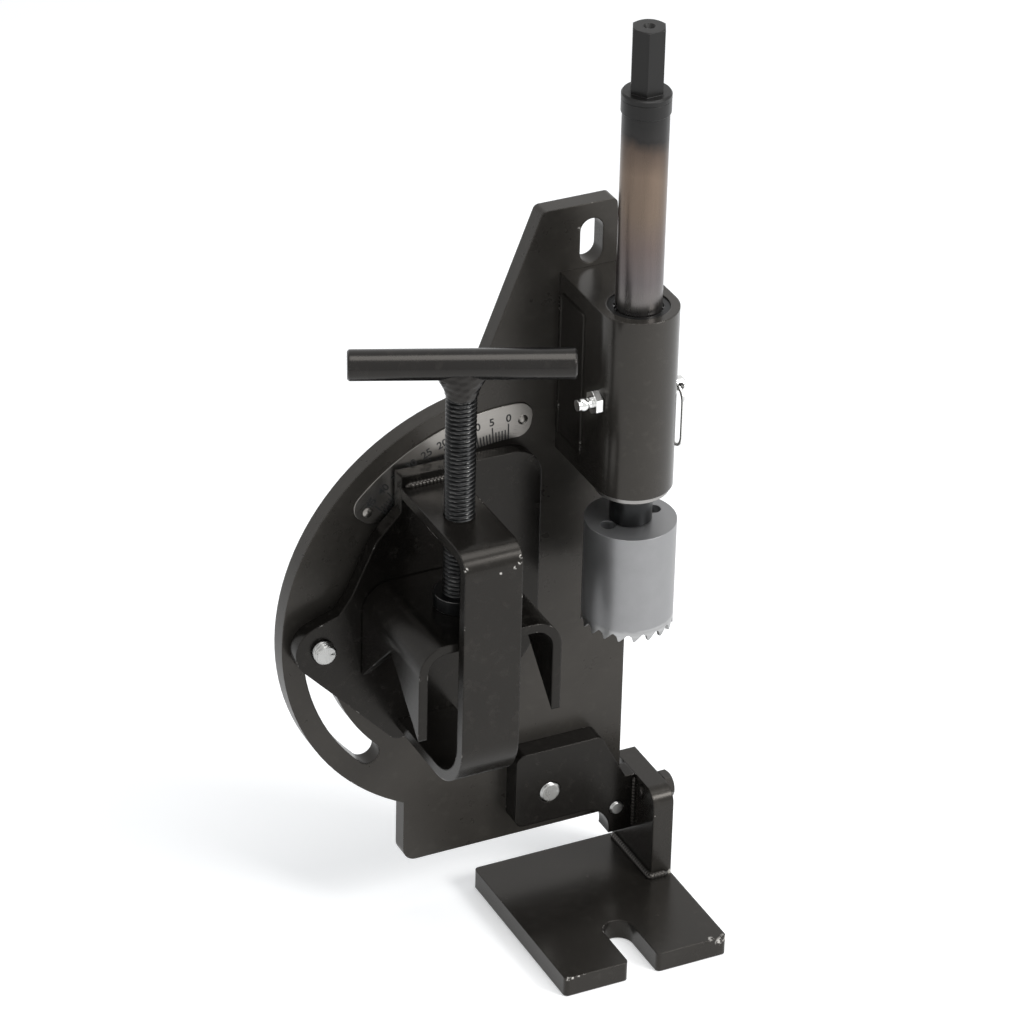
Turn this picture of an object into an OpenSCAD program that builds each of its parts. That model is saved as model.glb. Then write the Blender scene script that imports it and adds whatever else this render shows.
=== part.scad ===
// Tube notcher: a bench tool that saws a round notch into the end of a clamped tube.
// The origin is on the underside of the foot, straight below the spindle's axis.
// X points to the right, Y away from the user and Z up. All lengths are in millimetres.

/* [Foot] */
// Width of the foot plate
foot_w = 76.2; // [66:0.1:110]
// Depth of the foot plate from front to back
foot_d = 88.9; // [76:0.1:130]
// Thickness of the foot plate
foot_t = 9; // [6:0.1:14]
// How far the foot stands out behind the main plate
foot_overhang = 1.4; // [0:0.1:8]
// Radius of the foot plate's corners
foot_corner_r = 2; // [1:0.1:5]
// Width of the hold-down slot in the front edge
foot_slot_w = 13.5; // [8:0.1:18]
// Length of the hold-down slot back from the front edge
foot_slot_l = 29.5; // [16:0.1:40]
// Distance of the hold-down slot's centre line to the left of the spindle axis
foot_slot_x = 8.5; // [0:0.1:20]

/* [Foot bracket] */
// Thickness of the upright and of the flange
bracket_t = 9.5; // [6:0.1:12]
// Depth of the upright from front to back
upright_d = 37; // [30:0.1:44]
// Height of the upright's top edge above the bench
upright_top = 51.3; // [46:0.1:64]
// Radius of the upright's front top corner
upright_r = 7; // [2:0.1:12]
// Distance from the spindle axis to the flange's left edge
flange_left = 35; // [28:0.1:60]
// Height of the flange's top edge above the bench
flange_top = 74.5; // [70:0.1:74.9]
// Height of the flange's long lower edge above the bench
flange_low = 38.5; // [34:0.1:42]
// Height of the flange's tail beside the upright
flange_tail = 24; // [20:0.1:28]
// Distance from the spindle axis to the right end of the flange's top edge
flange_flat = 5; // [0:0.1:8]
// Distance from the spindle axis to the foot of the flange's slanted edge
flange_slope_x = 17; // [14:0.1:19]
// Radius of the round end of the gap below the flange
flange_gap_r = 12.5; // [6:0.1:14]
// Distance from the spindle axis to the left side of the flange's tail
flange_tail_left = 10; // [8:0.1:10.4]
// Radius of the flange's corners
flange_corner_r = 4; // [1:0.1:6]

/* [Main plate] */
// Thickness of the main plate
plate_t = 7.94; // [6:0.01:12]
// Distance from the spindle axis back to the main plate's front face
plate_depth = 37; // [34:0.1:44]
// Height of the main plate's lower edge above the bench
plate_low = 29; // [20:0.1:30]
// Height of the main plate's top edge above the bench
plate_top = 326.6; // [322:0.1:350]
// Distance from the spindle axis to the main plate's left column edge
plate_left = 83; // [70:0.1:90]
// Distance from the spindle axis to the main plate's right edge
plate_right = 19; // [18:0.1:24]
// Gap between the main plate's right edge and the upright
plate_side_gap = 2.7; // [0.5:0.1:5]
// Distance from the spindle axis to the neck's top right corner
neck_right = 8.3; // [6:0.1:14]
// Distance from the spindle axis to the neck's top left corner
neck_left = 25; // [18:0.1:30]
// Height at which the right edge starts to lean in
neck_z = 209; // [180:0.1:230]
// Radius of the round part of the plate about the arm's pivot
disc_r = 100.3; // [98:0.1:110]
// Radius of the plate's lower left corner
plate_corner_r = 6; // [2:0.1:8]
// Radius of the neck's top corners
neck_corner_r = 2.5; // [1:0.1:5]
// Width of the sight slot above the spindle housing
sight_slot_w = 10.3; // [6:0.1:12]
// Length of the sight slot
sight_slot_l = 20; // [14:0.1:24]
// Distance of the sight slot's centre line to the left of the spindle axis
sight_slot_x = 2.8; // [0:0.1:6]

/* [Swing arm] */
// Distance from the spindle axis to the arm's pivot
pivot_x = 38.5; // [36:0.1:44]
// Height of the arm's pivot above the bench
pivot_z = 149; // [146:0.1:160]
// Largest swing of the arm in degrees
swing_max = 45; // [30:1:45]
// Thickness of the arm plate
arm_t = 6.35; // [5:0.05:8]
// Distance from the pivot to the arm's right edge
arm_right = 11.6; // [9:0.1:14]
// Height of the arm's top edge above the pivot
arm_top = 75.5; // [73:0.1:80]
// Depth of the arm's lower edge below the pivot
arm_low = 50; // [46:0.1:51]
// Distance from the pivot to the left end of the lower edge
arm_low_left = 53.5; // [50:0.1:54]
// Distance from the pivot to the right end of the lower edge
arm_low_right = 13.5; // [5:0.1:20]
// Depth below the pivot at which the right edge leans in
arm_waist = 15; // [12:0.1:20]
// Radius of the arm's top right corner
arm_corner_r = 13; // [6:0.1:16]
// Height above the pivot at which the arm's left edge meets the strap's left side
arm_strap_z = 59; // [55:0.1:66]
// Radius of the arm's lower corners
arm_small_r = 5; // [2:0.1:6]
// Distance from the pivot to the locking bolt
lock_r = 86; // [84:0.1:88]
// Radius of the arm's lobe round the locking bolt
lobe_r = 12; // [10:0.1:14]
// Diameter of the spacers behind the arm
spacer_d = 19; // [16:0.1:22]

/* [Angle scale] */
// Radius of the scale's centre line about the pivot
scale_r = 84.9; // [84:0.05:88]
// Width of the scale strip
scale_w = 15.8; // [13:0.1:18]
// Thickness of the scale strip
scale_t = 0.8; // [0.5:0.05:1.2]
// Diameter of the rivet heads
rivet_head_d = 4.4; // [3.6:0.1:6]
// Height of the rivet heads
rivet_head_h = 0.85; // [0.5:0.05:1.2]
// Diameter of the rivet shanks
rivet_d = 2.4; // [1.6:0.1:3]

/* [Clamp strap] */
// Distance from the pivot to the strap's centre line
strap_x = 39; // [38:0.1:42]
// Width of the strap
strap_w = 25.4; // [22:0.1:28]
// Thickness of the strap
strap_t = 4.8; // [4:0.1:6]
// Height of the strap's top face above the pivot
strap_top = 70.5; // [68:0.1:72]
// Depth of the strap's lowest face below the pivot
strap_low = 45.2; // [43:0.1:47]
// Inner radius of the strap's top bend
strap_top_in_r = 4.2; // [1:0.1:6]
// Inner radius of the strap's lower bend
strap_low_in_r = 20; // [8:0.1:22]

/* [Clamp saddle] */
// Width of the saddle along the tube
saddle_w = 63.5; // [54:0.1:64]
// Thickness of the saddle's sheet
saddle_t = 3.9; // [3.2:0.1:5]
// Inner bend radius of the saddle's top edges
saddle_in_r = 8.6; // [2:0.1:10]
// Distance of the saddle's middle to the right of the clamp screw
saddle_shift = 2; // [0:0.1:4]
// Height of the saddle's legs from the point of the vee to the saddle's top
saddle_crown = 15.3; // [12:0.1:18]
// Gap between the saddle and the arm or strap beside it
saddle_gap = 0.6; // [0.4:0.1:2]
// Outside diameter of the tube that the saddle holds when at rest
tube_d = 44.45; // [40:0.05:46]

/* [Clamp screw] */
// Outside diameter of the clamp screw
screw_d = 12.7; // [10:0.1:13]
// Length of screw between the strap's top and the weld collar under the handle
screw_free = 54.2; // [45:0.1:60]
// Height of the weld collar under the handle
hub_h = 8; // [5:0.1:10]
// Diameter of the weld collar
hub_d = 17; // [15:0.1:19]
// Diameter of the handle bar
bar_d = 12.7; // [10:0.1:13]
// Length of the handle bar
bar_l = 90.5; // [80:0.1:91]
// Angle of the handle bar to the X axis in degrees
bar_angle = -22.6; // [-80:0.1:80]
// Diameter of the swivel tip that passes through the saddle
tip_d = 9; // [7:0.1:9.5]
// Diameter of the swivel's collar and of its washer
swivel_d = 20; // [17:0.1:23]
// Height of the swivel's collar
swivel_h = 6; // [4:0.1:8]

/* [Spindle housing] */
// Width of the housing, which is also its round front's diameter
housing_w = 33.4; // [32:0.1:35]
// Height of the housing's lower face above the bench
housing_z = 217; // [216:0.1:222]
// Height of the housing
housing_h = 81; // [70:0.1:81.5]
// Outside diameter of the needle bearings
bearing_od = 25.4; // [25:0.1:26]
// Length of a needle bearing
bearing_l = 19.05; // [14:0.05:24]
// Wall of a needle bearing's drawn cup
cup_t = 1; // [0.7:0.05:1.2]
// Number of needles in a bearing
needle_count = 20; // [12:1:24]
// Height of the grease nipple and of the locking pin above the housing's lower face
cross_z = 40.6; // [30:0.1:46]

/* [Spindle] */
// Diameter of the spindle
spindle_d = 19.05; // [18.5:0.05:19.2]
// Height of the spindle's top shoulder above the bench
spindle_top = 392.4; // [380:0.1:400]
// Diameter of the spindle's threaded nose
nose_d = 12.7; // [11:0.1:13]
// Width across flats of the hexagonal drive shank
shank_af = 12.7; // [10:0.1:13]
// Length of the drive shank
shank_l = 27.5; // [20:0.1:35]
// Turn of the shank's corner from the X axis in degrees
shank_angle = 3.4; // [0:0.1:60]
// Diameter of the spindle's top collar
collar_d = 20.2; // [19.5:0.1:22]
// Height of the spindle's top collar
collar_h = 2.6; // [1:0.1:5]
// Thickness of the thrust washer
thrust_t = 5; // [3:0.1:6]
// Diameter of the thrust washer
thrust_d = 30.8; // [26:0.1:33]
// Diameter of the arbor collar above the saw
arbor_d = 17.6; // [16:0.1:19]
// Height of the arbor collar
arbor_h = 12.1; // [10:0.1:14]

/* [Hole saw] */
// Outside diameter of the hole saw
saw_d = 38.1; // [34:0.1:38.5]
// Height of the hole saw without its teeth
saw_h = 48.5; // [44:0.1:50]
// Wall of the hole saw
saw_wall = 1.5; // [1.2:0.05:2.2]
// Thickness of the hole saw's top
saw_cap_t = 5; // [4:0.1:7]
// Number of saw teeth
tooth_count = 19; // [15:1:22]
// Depth of the gullets between the teeth
gullet_h = 3.2; // [2.4:0.05:3.6]
// Diameter of the drive holes in the saw's top
drive_hole_d = 6.4; // [5:0.1:7]

/* [Locking pin] */
// Diameter of the locking pin
pin_d = 6.35; // [5:0.05:6.4]
// Length of pin outside the housing
pin_out = 5; // [4.8:0.1:8]
// Width of the oval pull ring between the centre lines of its wire
ring_w = 12; // [10:0.1:16]
// Height of the pull ring between the centre lines of its wire
ring_h = 27.5; // [20:0.1:32]
// Diameter of the pull ring's wire
ring_wire = 1.6; // [1.2:0.1:1.8]

/* [Bolts] */
// Diameter of the large bolts
bolt_d = 9.525; // [8:0.005:9.6]
// Width across flats of the large bolts' heads
bolt_af = 14.3; // [13:0.1:15]
// Height of the large bolts' heads
bolt_head_h = 6.2; // [5:0.1:7]
// Diameter of the large washers
washer_d = 20.6; // [18:0.1:22]
// Thickness of the large washers
washer_t = 1.65; // [1.2:0.05:2]
// Diameter of the small bolts
small_bolt_d = 6.35; // [5:0.05:6.4]
// Width across flats of the small bolts' heads
small_bolt_af = 11.1; // [9:0.1:11.5]
// Height of the small bolts' heads
small_head_h = 4.4; // [3.5:0.1:5]
// How far the foot's bolt ends stand out of the flange and the upright
bolt_proud = 1; // [0.2:0.1:2]
// How far the ends of the pivot bolt and the locking bolt stand out of the arm
arm_bolt_proud = 4; // [0.5:0.1:6]

/* [Clearances] */
// Radial clearance of a turning or sliding shaft
run_gap = 0.06; // [0.03:0.01:0.1]
// Radial clearance of a bolt or a pressed piece in its hole
fit_gap = 0.05; // [0.02:0.01:0.1]
// Gap between faces that slide past each other
slide_gap = 0.15; // [0.1:0.01:0.3]
// Radial clearance of the locking bolt in its curved slot
slot_gap = 0.3; // [0.2:0.05:0.5]
// Gap between the arm plate and the rivet heads behind it
arm_clear = 0.85; // [0.5:0.05:1.5]

/* [Hidden] */
$fn = 64;

// Overrun of every cut beyond the face it passes through
over = 1;
// Width of the chamfer on bolt ends, bar ends and the spindle
chamfer = 0.8;

// Depths along Y, from the spindle's axis back
plate_back = plate_depth + plate_t;
foot_rear = plate_back + foot_overhang;
foot_front = foot_rear - foot_d;
spacer_t = scale_t + rivet_head_h + arm_clear;
arm_back = plate_depth - slide_gap - spacer_t;
arm_front = arm_back - arm_t;
strap_inner = -arm_front;
strap_front = strap_inner - strap_t;
bracket_front = plate_depth - bracket_t;
upright_front = foot_rear - upright_d;

// Places along X
upright_left = plate_right + plate_side_gap;
foot_right = upright_left + bracket_t;
foot_left = foot_right - foot_w;
screw_x = -pivot_x - strap_x;

// Heights
strap_top_z = pivot_z + strap_top;
strap_low_z = pivot_z - strap_low;
strap_floor_z = strap_low_z + strap_t;
vee_z = strap_floor_z + tube_d / 2 + tube_d / 2 * sqrt(2);
saddle_top = vee_z + saddle_crown;
saddle_half = arm_front - saddle_gap;
saddle_low = vee_z - saddle_half;
housing_top = housing_z + housing_h;
cross_height = housing_z + cross_z;
hub_z = strap_top_z + screw_free;
bar_z = hub_z + hub_h + bar_d / 2;
thrust_top = housing_z - slide_gap;
thrust_low = thrust_top - thrust_t;
arbor_top = thrust_low - slide_gap;
saw_top = arbor_top - arbor_h;
saw_low = saw_top - saw_h;
shaft_low = thrust_top + slide_gap;

// Angles about the pivot: locking bolt, scale rivets and neck
lock_angle = 179;
lock_slot_margin = 0.6;
scale_right_angle = 85.6;
scale_left_angle = 137.7;
neck_angle = 100;

// Corners of the arm's left edge from the locking lobe upwards, measured from the pivot
arm_left_corners = [[-79, 16.5], [-73.5, 24], [-62.5, 47.5]];

// Places of the bolts through the foot's flange, the upright and the housing
flange_bolt = [-19, 53];
flange_screw = [13.2, 36];
upright_screw = [22.1, 45.7];
housing_bolt_inset = 14;
housing_bolt_depth = 16;
end_relief = 0.08;
sight_slot_lift = 1.5;
scale_end = 4.2;
scale_corner_r = 3.5;

// Small sizes of the pieces
needle_gap = 0.03;
needle_end_gap = 0.2;
lip_gap = 0.7;
lip_r = spindle_d / 2 + lip_gap;
tip_h = 2.2;
weld_rise = 2;
nose_out = 3;
cross_hole_d = 6.5;
centre_hole_d = 5;
centre_hole_h = 3;
nipple_hex_af = 9;
nipple_hex_h = 3;
nipple_neck_d = 5;
nipple_neck_h = 3.5;
nipple_ball_d = 6;
nipple_bore_d = 2.5;
nipple_stem_d = 6;
nipple_stem_l = 3.5;
pin_nose_gap = 1.6;
ring_inset = 2.9;
ring_hole_gap = 0.1;
drive_hole_r = 11.5;
drive_hole_angle = 190;
bearing_inset = 0.5;

// Shape of one gullet as shares of the tooth's pitch and of the gullet's depth
gullet_shares = [[0, 0], [-0.1, 0.72], [-0.3, 1], [-0.42, 0.95], [-0.88, 0]];

// Unit vector along v
function unit(v) = v / norm(v);
// Point at a radius and an angle about a centre
function polar(centre, r, angle) = centre + r * [cos(angle), sin(angle)];
// Half of the angle between the edges from p to a and from p to b
function half_angle(p, a, b) = acos(unit(a - p) * unit(b - p)) / 2;
// Centre of the round that touches both edges at the corner p
function round_centre(p, a, b, r) =
    p + unit(unit(a - p) + unit(b - p)) * r / sin(half_angle(p, a, b));
// Point where that round leaves the edge towards a
function round_touch(p, a, b, r) = p + unit(a - p) * r / tan(half_angle(p, a, b));
// Point where a line from p touches a circle, on the side that sign gives
function tangent_point(p, centre, r, sign) =
    let (d = p - centre, base = atan2(d[1], d[0]))
    polar(centre, r, base + sign * acos(r / norm(d)));

pivot = [-pivot_x, pivot_z];
lock_place = polar(pivot, lock_r, lock_angle);
rivet_places = [polar(pivot, scale_r, scale_right_angle), polar(pivot, scale_r, scale_left_angle)];
housing_bolt_places = [[0, housing_z + housing_bolt_inset], [0, housing_top - housing_bolt_inset]];
nose_low = saw_top - saw_cap_t - nose_out;
pin_nose_x = spindle_d / 2 + pin_nose_gap;
ring_x = housing_w / 2 + pin_out - ring_inset;
ring_sag = ring_w / 2 - sqrt(pow(ring_w / 2, 2) - pow(pin_d / 2, 2));
ring_hole_d = ring_wire + 2 * (ring_sag + ring_hole_gap);

// Flat outline whose convex corners are rounded; a radius of 0 leaves a corner sharp
module rounded(points, radii) {
    n = len(points);
    function before(i) = points[(i + n - 1) % n];
    function after(i) = points[(i + 1) % n];
    polygon([for (i = [0:n - 1]) each radii[i] > 0
        ? [round_touch(points[i], before(i), after(i), radii[i]),
           round_touch(points[i], after(i), before(i), radii[i])]
        : [points[i]]]);
    for (i = [0:n - 1]) {
        if (radii[i] > 0) {
            translate(round_centre(points[i], before(i), after(i), radii[i]))
                circle(radii[i]);
        }
    }
}

// Curved strip about a centre, cut square at its ends
module arc_band(centre, r, width, from, to) {
    reach = (r + width) / cos((to - from) / 4);
    intersection() {
        difference() {
            translate(centre) circle(r + width / 2, $fn = 180);
            translate(centre) circle(r - width / 2, $fn = 180);
        }
        polygon([centre, polar(centre, reach, from), polar(centre, reach, (from + to) / 2),
            polar(centre, reach, to)]);
    }
}

// Curved slot about a centre, with round ends
module arc_slot(centre, r, width, from, to) {
    arc_band(centre, r, width, from, to);
    for (angle = [from, to]) {
        translate(polar(centre, r, angle)) circle(width / 2 + end_relief);
    }
}

// Curved plate about a centre with rounded corners; its ends lie past from and to
module arc_plate(centre, r, width, from, to, past, corner) {
    turn = past / r * 180 / PI;
    inset = asin((corner + end_relief) / (r - width / 2));
    arc_band(centre, r, width, from - turn + inset, to + turn - inset);
    arc_band(centre, r, width - 2 * corner, from - turn, to + turn);
    for (side = [-1, 1]) {
        radius = r + side * (width / 2 - corner);
        bend = asin(corner / radius);
        for (angle = [from - turn + bend, to + turn - bend]) {
            translate(polar(centre, radius, angle)) circle(corner + end_relief / 4);
        }
    }
}

// Straight slot with round ends, standing upright in the outline
module obround(centre, width, length) {
    straight = length - width;
    translate([centre[0] - width / 2, centre[1] - straight / 2]) square([width, straight]);
    translate([centre[0], centre[1] - straight / 2]) circle(width / 2);
    translate([centre[0], centre[1] + straight / 2]) circle(width / 2);
}

// Plate parallel to the main plate: the outline holds X and Z
module front_plate(front, thickness) {
    translate([0, front + thickness, 0]) rotate([90, 0, 0]) linear_extrude(thickness) children();
}

// Plate square to the main plate: the outline holds Y and Z
module side_plate(left, thickness) {
    translate([left, 0, 0]) rotate([90, 0, 90]) linear_extrude(thickness) children();
}

// Round bar along Y at a place in X and Z
module bar_y(place, from, to, d) {
    translate([place[0], from, place[1]]) rotate([-90, 0, 0]) cylinder(h = to - from, d = d);
}

// Round bar along X at a place in Y and Z
module bar_x(place, from, to, d) {
    translate([from, place[0], place[1]]) rotate([0, 90, 0]) cylinder(h = to - from, d = d);
}

// Round bar along Z with chamfered ends, standing on the origin
module chamfered_bar(d, h) {
    cylinder(h = chamfer, d1 = d - 2 * chamfer, d2 = d);
    translate([0, 0, chamfer]) cylinder(h = h - 2 * chamfer, d = d);
    translate([0, 0, h - chamfer]) cylinder(h = chamfer, d1 = d, d2 = d - 2 * chamfer);
}

// Six-sided prism along Z
module hexagon(af, h) {
    cylinder(h = h, d = af / cos(30), $fn = 6);
}

// Bolt along Y: its head lies behind seat, and its end is chamfered
module plate_bolt(place, seat, front, d, af, head_h) {
    bar_y(place, front + chamfer, seat, d);
    translate([place[0], front, place[1]]) rotate([-90, 0, 0])
        cylinder(h = chamfer, d1 = d - 2 * chamfer, d2 = d);
    translate([place[0], seat, place[1]]) rotate([-90, 0, 0]) hexagon(af, head_h);
}

module foot_plate() {
    slot_left = -foot_slot_x - foot_slot_w / 2;
    slot_right = -foot_slot_x + foot_slot_w / 2;
    slot_end = foot_front + foot_slot_l - foot_slot_w / 2;
    color([0.2, 0.2, 0.2])
    linear_extrude(foot_t) difference() {
        rounded(
            [[foot_left, foot_front], [slot_left, foot_front], [slot_left, slot_end],
             [slot_right, slot_end], [slot_right, foot_front], [foot_right, foot_front],
             [foot_right, foot_rear], [foot_left, foot_rear]],
            [foot_corner_r, foot_corner_r, 0, 0, foot_corner_r, foot_corner_r,
             foot_corner_r, foot_corner_r]);
        translate([-foot_slot_x, slot_end]) circle(foot_slot_w / 2);
    }
}

module foot_upright() {
    color([0.22, 0.22, 0.21])
    difference() {
        side_plate(upright_left, bracket_t) rounded(
            [[upright_front, foot_t], [foot_rear, foot_t],
             [foot_rear, upright_top], [upright_front, upright_top]],
            [0, 0, 0, upright_r]);
        bar_x(upright_screw, upright_left - over, foot_right + over,
            small_bolt_d + 2 * fit_gap);
    }
}

module foot_flange() {
    gap_x = flange_tail_left - flange_gap_r;
    color([0.18, 0.18, 0.18])
    difference() {
        front_plate(bracket_front, bracket_t) difference() {
            rounded(
                [[-flange_left, flange_low], [gap_x, flange_low], [gap_x, flange_tail],
                 [upright_left, flange_tail], [upright_left, upright_top],
                 [flange_slope_x, upright_top], [flange_flat, flange_top],
                 [-flange_left, flange_top]],
                [flange_corner_r, 0, 0, 0, 0, 0, flange_corner_r, flange_corner_r]);
            translate([gap_x, flange_low - flange_gap_r]) circle(flange_gap_r);
        }
        bar_y(flange_bolt, bracket_front - over, plate_depth + over, bolt_d + 2 * fit_gap);
        bar_y(flange_screw, bracket_front - over, plate_depth + over,
            small_bolt_d + 2 * fit_gap);
    }
}

module foot_bolts() {
    color([0.72, 0.72, 0.74]) {
        plate_bolt(flange_bolt, plate_back, bracket_front - bolt_proud,
            bolt_d, bolt_af, bolt_head_h);
        plate_bolt(flange_screw, plate_back, bracket_front - bolt_proud,
            small_bolt_d, small_bolt_af, small_head_h);
    }
}

module upright_bolt() {
    color([0.72, 0.72, 0.74])
    translate([foot_right, upright_screw[0], upright_screw[1]]) rotate([0, 90, 0]) {
        hexagon(small_bolt_af, small_head_h);
        translate([0, 0, -bracket_t - bolt_proud + chamfer])
            cylinder(h = bracket_t + bolt_proud - chamfer, d = small_bolt_d);
        translate([0, 0, -bracket_t - bolt_proud])
            cylinder(h = chamfer, d1 = small_bolt_d - 2 * chamfer, d2 = small_bolt_d);
    }
}

module plate_outline() {
    rounded(
        [[-plate_left, plate_low], [plate_right, plate_low], [plate_right, neck_z],
         [neck_right, plate_top], [-neck_left, plate_top],
         polar(pivot, disc_r, neck_angle), [-plate_left, pivot_z]],
        [plate_corner_r, 0, 0, neck_corner_r, neck_corner_r, 0, 0]);
    intersection() {
        translate(pivot) circle(disc_r, $fn = 180);
        translate(pivot - [disc_r + over, disc_r + over])
            square([disc_r + over + pivot_x + plate_right, 2 * (disc_r + over)]);
    }
}

module main_plate() {
    color([0.2, 0.2, 0.19])
    difference() {
        front_plate(plate_depth, plate_t) difference() {
            plate_outline();
            arc_slot(pivot, lock_r, bolt_d + 2 * slot_gap,
                lock_angle - lock_slot_margin, lock_angle + swing_max + lock_slot_margin);
            obround([-sight_slot_x, housing_top + sight_slot_lift + sight_slot_l / 2],
                sight_slot_w, sight_slot_l);
        }
        bar_y(pivot, plate_depth - over, plate_back + over, bolt_d + 2 * run_gap);
        for (place = concat(housing_bolt_places, [flange_bolt])) {
            bar_y(place, plate_depth - over, plate_back + over, bolt_d + 2 * fit_gap);
        }
        bar_y(flange_screw, plate_depth - over, plate_back + over,
            small_bolt_d + 2 * fit_gap);
        for (place = rivet_places) {
            bar_y(place, plate_depth - over, plate_back + over, rivet_d + 2 * fit_gap);
        }
    }
}

module angle_scale() {
    color([0.8, 0.8, 0.8])
    difference() {
        front_plate(plate_depth - scale_t, scale_t)
            arc_plate(pivot, scale_r, scale_w, scale_right_angle, scale_left_angle,
                scale_end, scale_corner_r);
        for (place = rivet_places) {
            bar_y(place, plate_depth - scale_t - over, plate_depth + over,
                rivet_d + 2 * fit_gap);
        }
    }
}

module scale_rivets() {
    head_r = rivet_head_d / 2;
    dome_r = (head_r * head_r + rivet_head_h * rivet_head_h) / (2 * rivet_head_h);
    face = plate_depth - scale_t;
    color([0.75, 0.75, 0.75])
    for (place = rivet_places) {
        bar_y(place, face, plate_back, rivet_d);
        intersection() {
            translate([place[0], face - rivet_head_h + dome_r, place[1]]) sphere(dome_r);
            bar_y(place, face - rivet_head_h - over, face, 2 * rivet_head_d);
        }
    }
}

module spindle_housing() {
    bore_d = bearing_od + 2 * fit_gap;
    color([0.36, 0.35, 0.33])
    difference() {
        translate([0, 0, housing_z]) linear_extrude(housing_h) {
            circle(d = housing_w);
            translate([-housing_w / 2, 0]) square([housing_w, plate_depth]);
        }
        translate([0, 0, housing_z - over]) cylinder(h = housing_h + 2 * over, d = bore_d);
        bar_x([0, cross_height], 0, housing_w, pin_d + 2 * run_gap);
        bar_x([0, cross_height], -housing_w, 0, nipple_stem_d + 2 * fit_gap);
        for (place = housing_bolt_places) {
            bar_y(place, plate_depth - housing_bolt_depth - chamfer, plate_depth + over,
                bolt_d + 2 * fit_gap);
        }
    }
}

module housing_bolts() {
    color([0.72, 0.72, 0.74])
    for (place = housing_bolt_places) {
        plate_bolt(place, plate_back, plate_depth - housing_bolt_depth,
            bolt_d, bolt_af, bolt_head_h);
    }
}

module bearing_cup(low) {
    outer_r = bearing_od / 2;
    color([0.66, 0.66, 0.68])
    translate([0, 0, low]) rotate_extrude() polygon([
        [lip_r, 0], [outer_r, 0], [outer_r, bearing_l], [lip_r, bearing_l],
        [lip_r, bearing_l - cup_t], [outer_r - cup_t, bearing_l - cup_t],
        [outer_r - cup_t, cup_t], [lip_r, cup_t]]);
}

module needles(low) {
    inner_r = spindle_d / 2 + run_gap;
    needle_d = bearing_od / 2 - cup_t - needle_gap - inner_r;
    length = bearing_l - 2 * (cup_t + needle_end_gap);
    color([0.8, 0.8, 0.82])
    for (i = [0:needle_count - 1]) {
        rotate([0, 0, 360 * i / needle_count])
            translate([inner_r + needle_d / 2, 0, low + cup_t + needle_end_gap])
                cylinder(h = length, d = needle_d);
    }
}

module upper_bearing_cup() {
    bearing_cup(housing_top - bearing_inset - bearing_l);
}

module lower_bearing_cup() {
    bearing_cup(housing_z + bearing_inset);
}

module upper_needles() {
    needles(housing_top - bearing_inset - bearing_l);
}

module lower_needles() {
    needles(housing_z + bearing_inset);
}

module grease_nipple() {
    neck_top = nipple_hex_h + nipple_neck_h;
    color([0.85, 0.85, 0.86])
    translate([-housing_w / 2, 0, cross_height]) rotate([0, -90, 0]) difference() {
        union() {
            hexagon(nipple_hex_af, nipple_hex_h);
            cylinder(h = neck_top + nipple_ball_d / 2, d = nipple_neck_d);
            translate([0, 0, neck_top]) sphere(d = nipple_ball_d);
            translate([0, 0, -nipple_stem_l]) cylinder(h = nipple_stem_l, d = nipple_stem_d);
        }
        translate([0, 0, -nipple_stem_l - over])
            cylinder(h = nipple_stem_l + neck_top + over, d = nipple_bore_d);
    }
}

module arm_plate() {
    right = -pivot_x + arm_right;
    top = pivot_z + arm_top;
    strap_left = screw_x - strap_w / 2;
    low_left = [-pivot_x - arm_low_left, pivot_z - arm_low];
    left_edge = [for (corner = arm_left_corners) pivot + corner];
    color([0.22, 0.22, 0.22])
    front_plate(arm_front, arm_t) difference() {
        union() {
            rounded(
                [tangent_point(left_edge[0], lock_place, lobe_r, 1),
                 tangent_point(low_left, lock_place, lobe_r, -1), low_left,
                 [-pivot_x - arm_low_right, pivot_z - arm_low], [right, pivot_z - arm_waist],
                 [right, top], [strap_left, top], [strap_left, pivot_z + arm_strap_z],
                 left_edge[2], left_edge[1], left_edge[0]],
                [0, 0, arm_small_r, arm_small_r, arm_small_r, arm_corner_r, 0, 0, 0, 0, 0]);
            translate(lock_place) circle(lobe_r + end_relief / 4);
        }
        for (place = [pivot, lock_place]) {
            translate(place) circle(d = bolt_d + 2 * fit_gap);
        }
    }
}

module arm_bolt(place) {
    color([0.72, 0.72, 0.74])
    plate_bolt(place, plate_back + slide_gap + washer_t, arm_front - arm_bolt_proud,
        bolt_d, bolt_af, bolt_head_h);
}

module pivot_bolt() {
    arm_bolt(pivot);
}

module lock_bolt() {
    arm_bolt(lock_place);
}

module bolt_ring(place, front, thickness, d) {
    difference() {
        bar_y(place, front, front + thickness, d);
        bar_y(place, front - over, front + thickness + over, bolt_d + 2 * fit_gap);
    }
}

module pivot_spacer() {
    color([0.6, 0.6, 0.6]) bolt_ring(pivot, arm_back, spacer_t, spacer_d);
}

module lock_spacer() {
    color([0.6, 0.6, 0.6]) bolt_ring(lock_place, arm_back, spacer_t, spacer_d);
}

module arm_washers() {
    color([0.7, 0.7, 0.72])
    for (place = [pivot, lock_place]) {
        bolt_ring(place, plate_back + slide_gap, washer_t, washer_d);
    }
}

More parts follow.
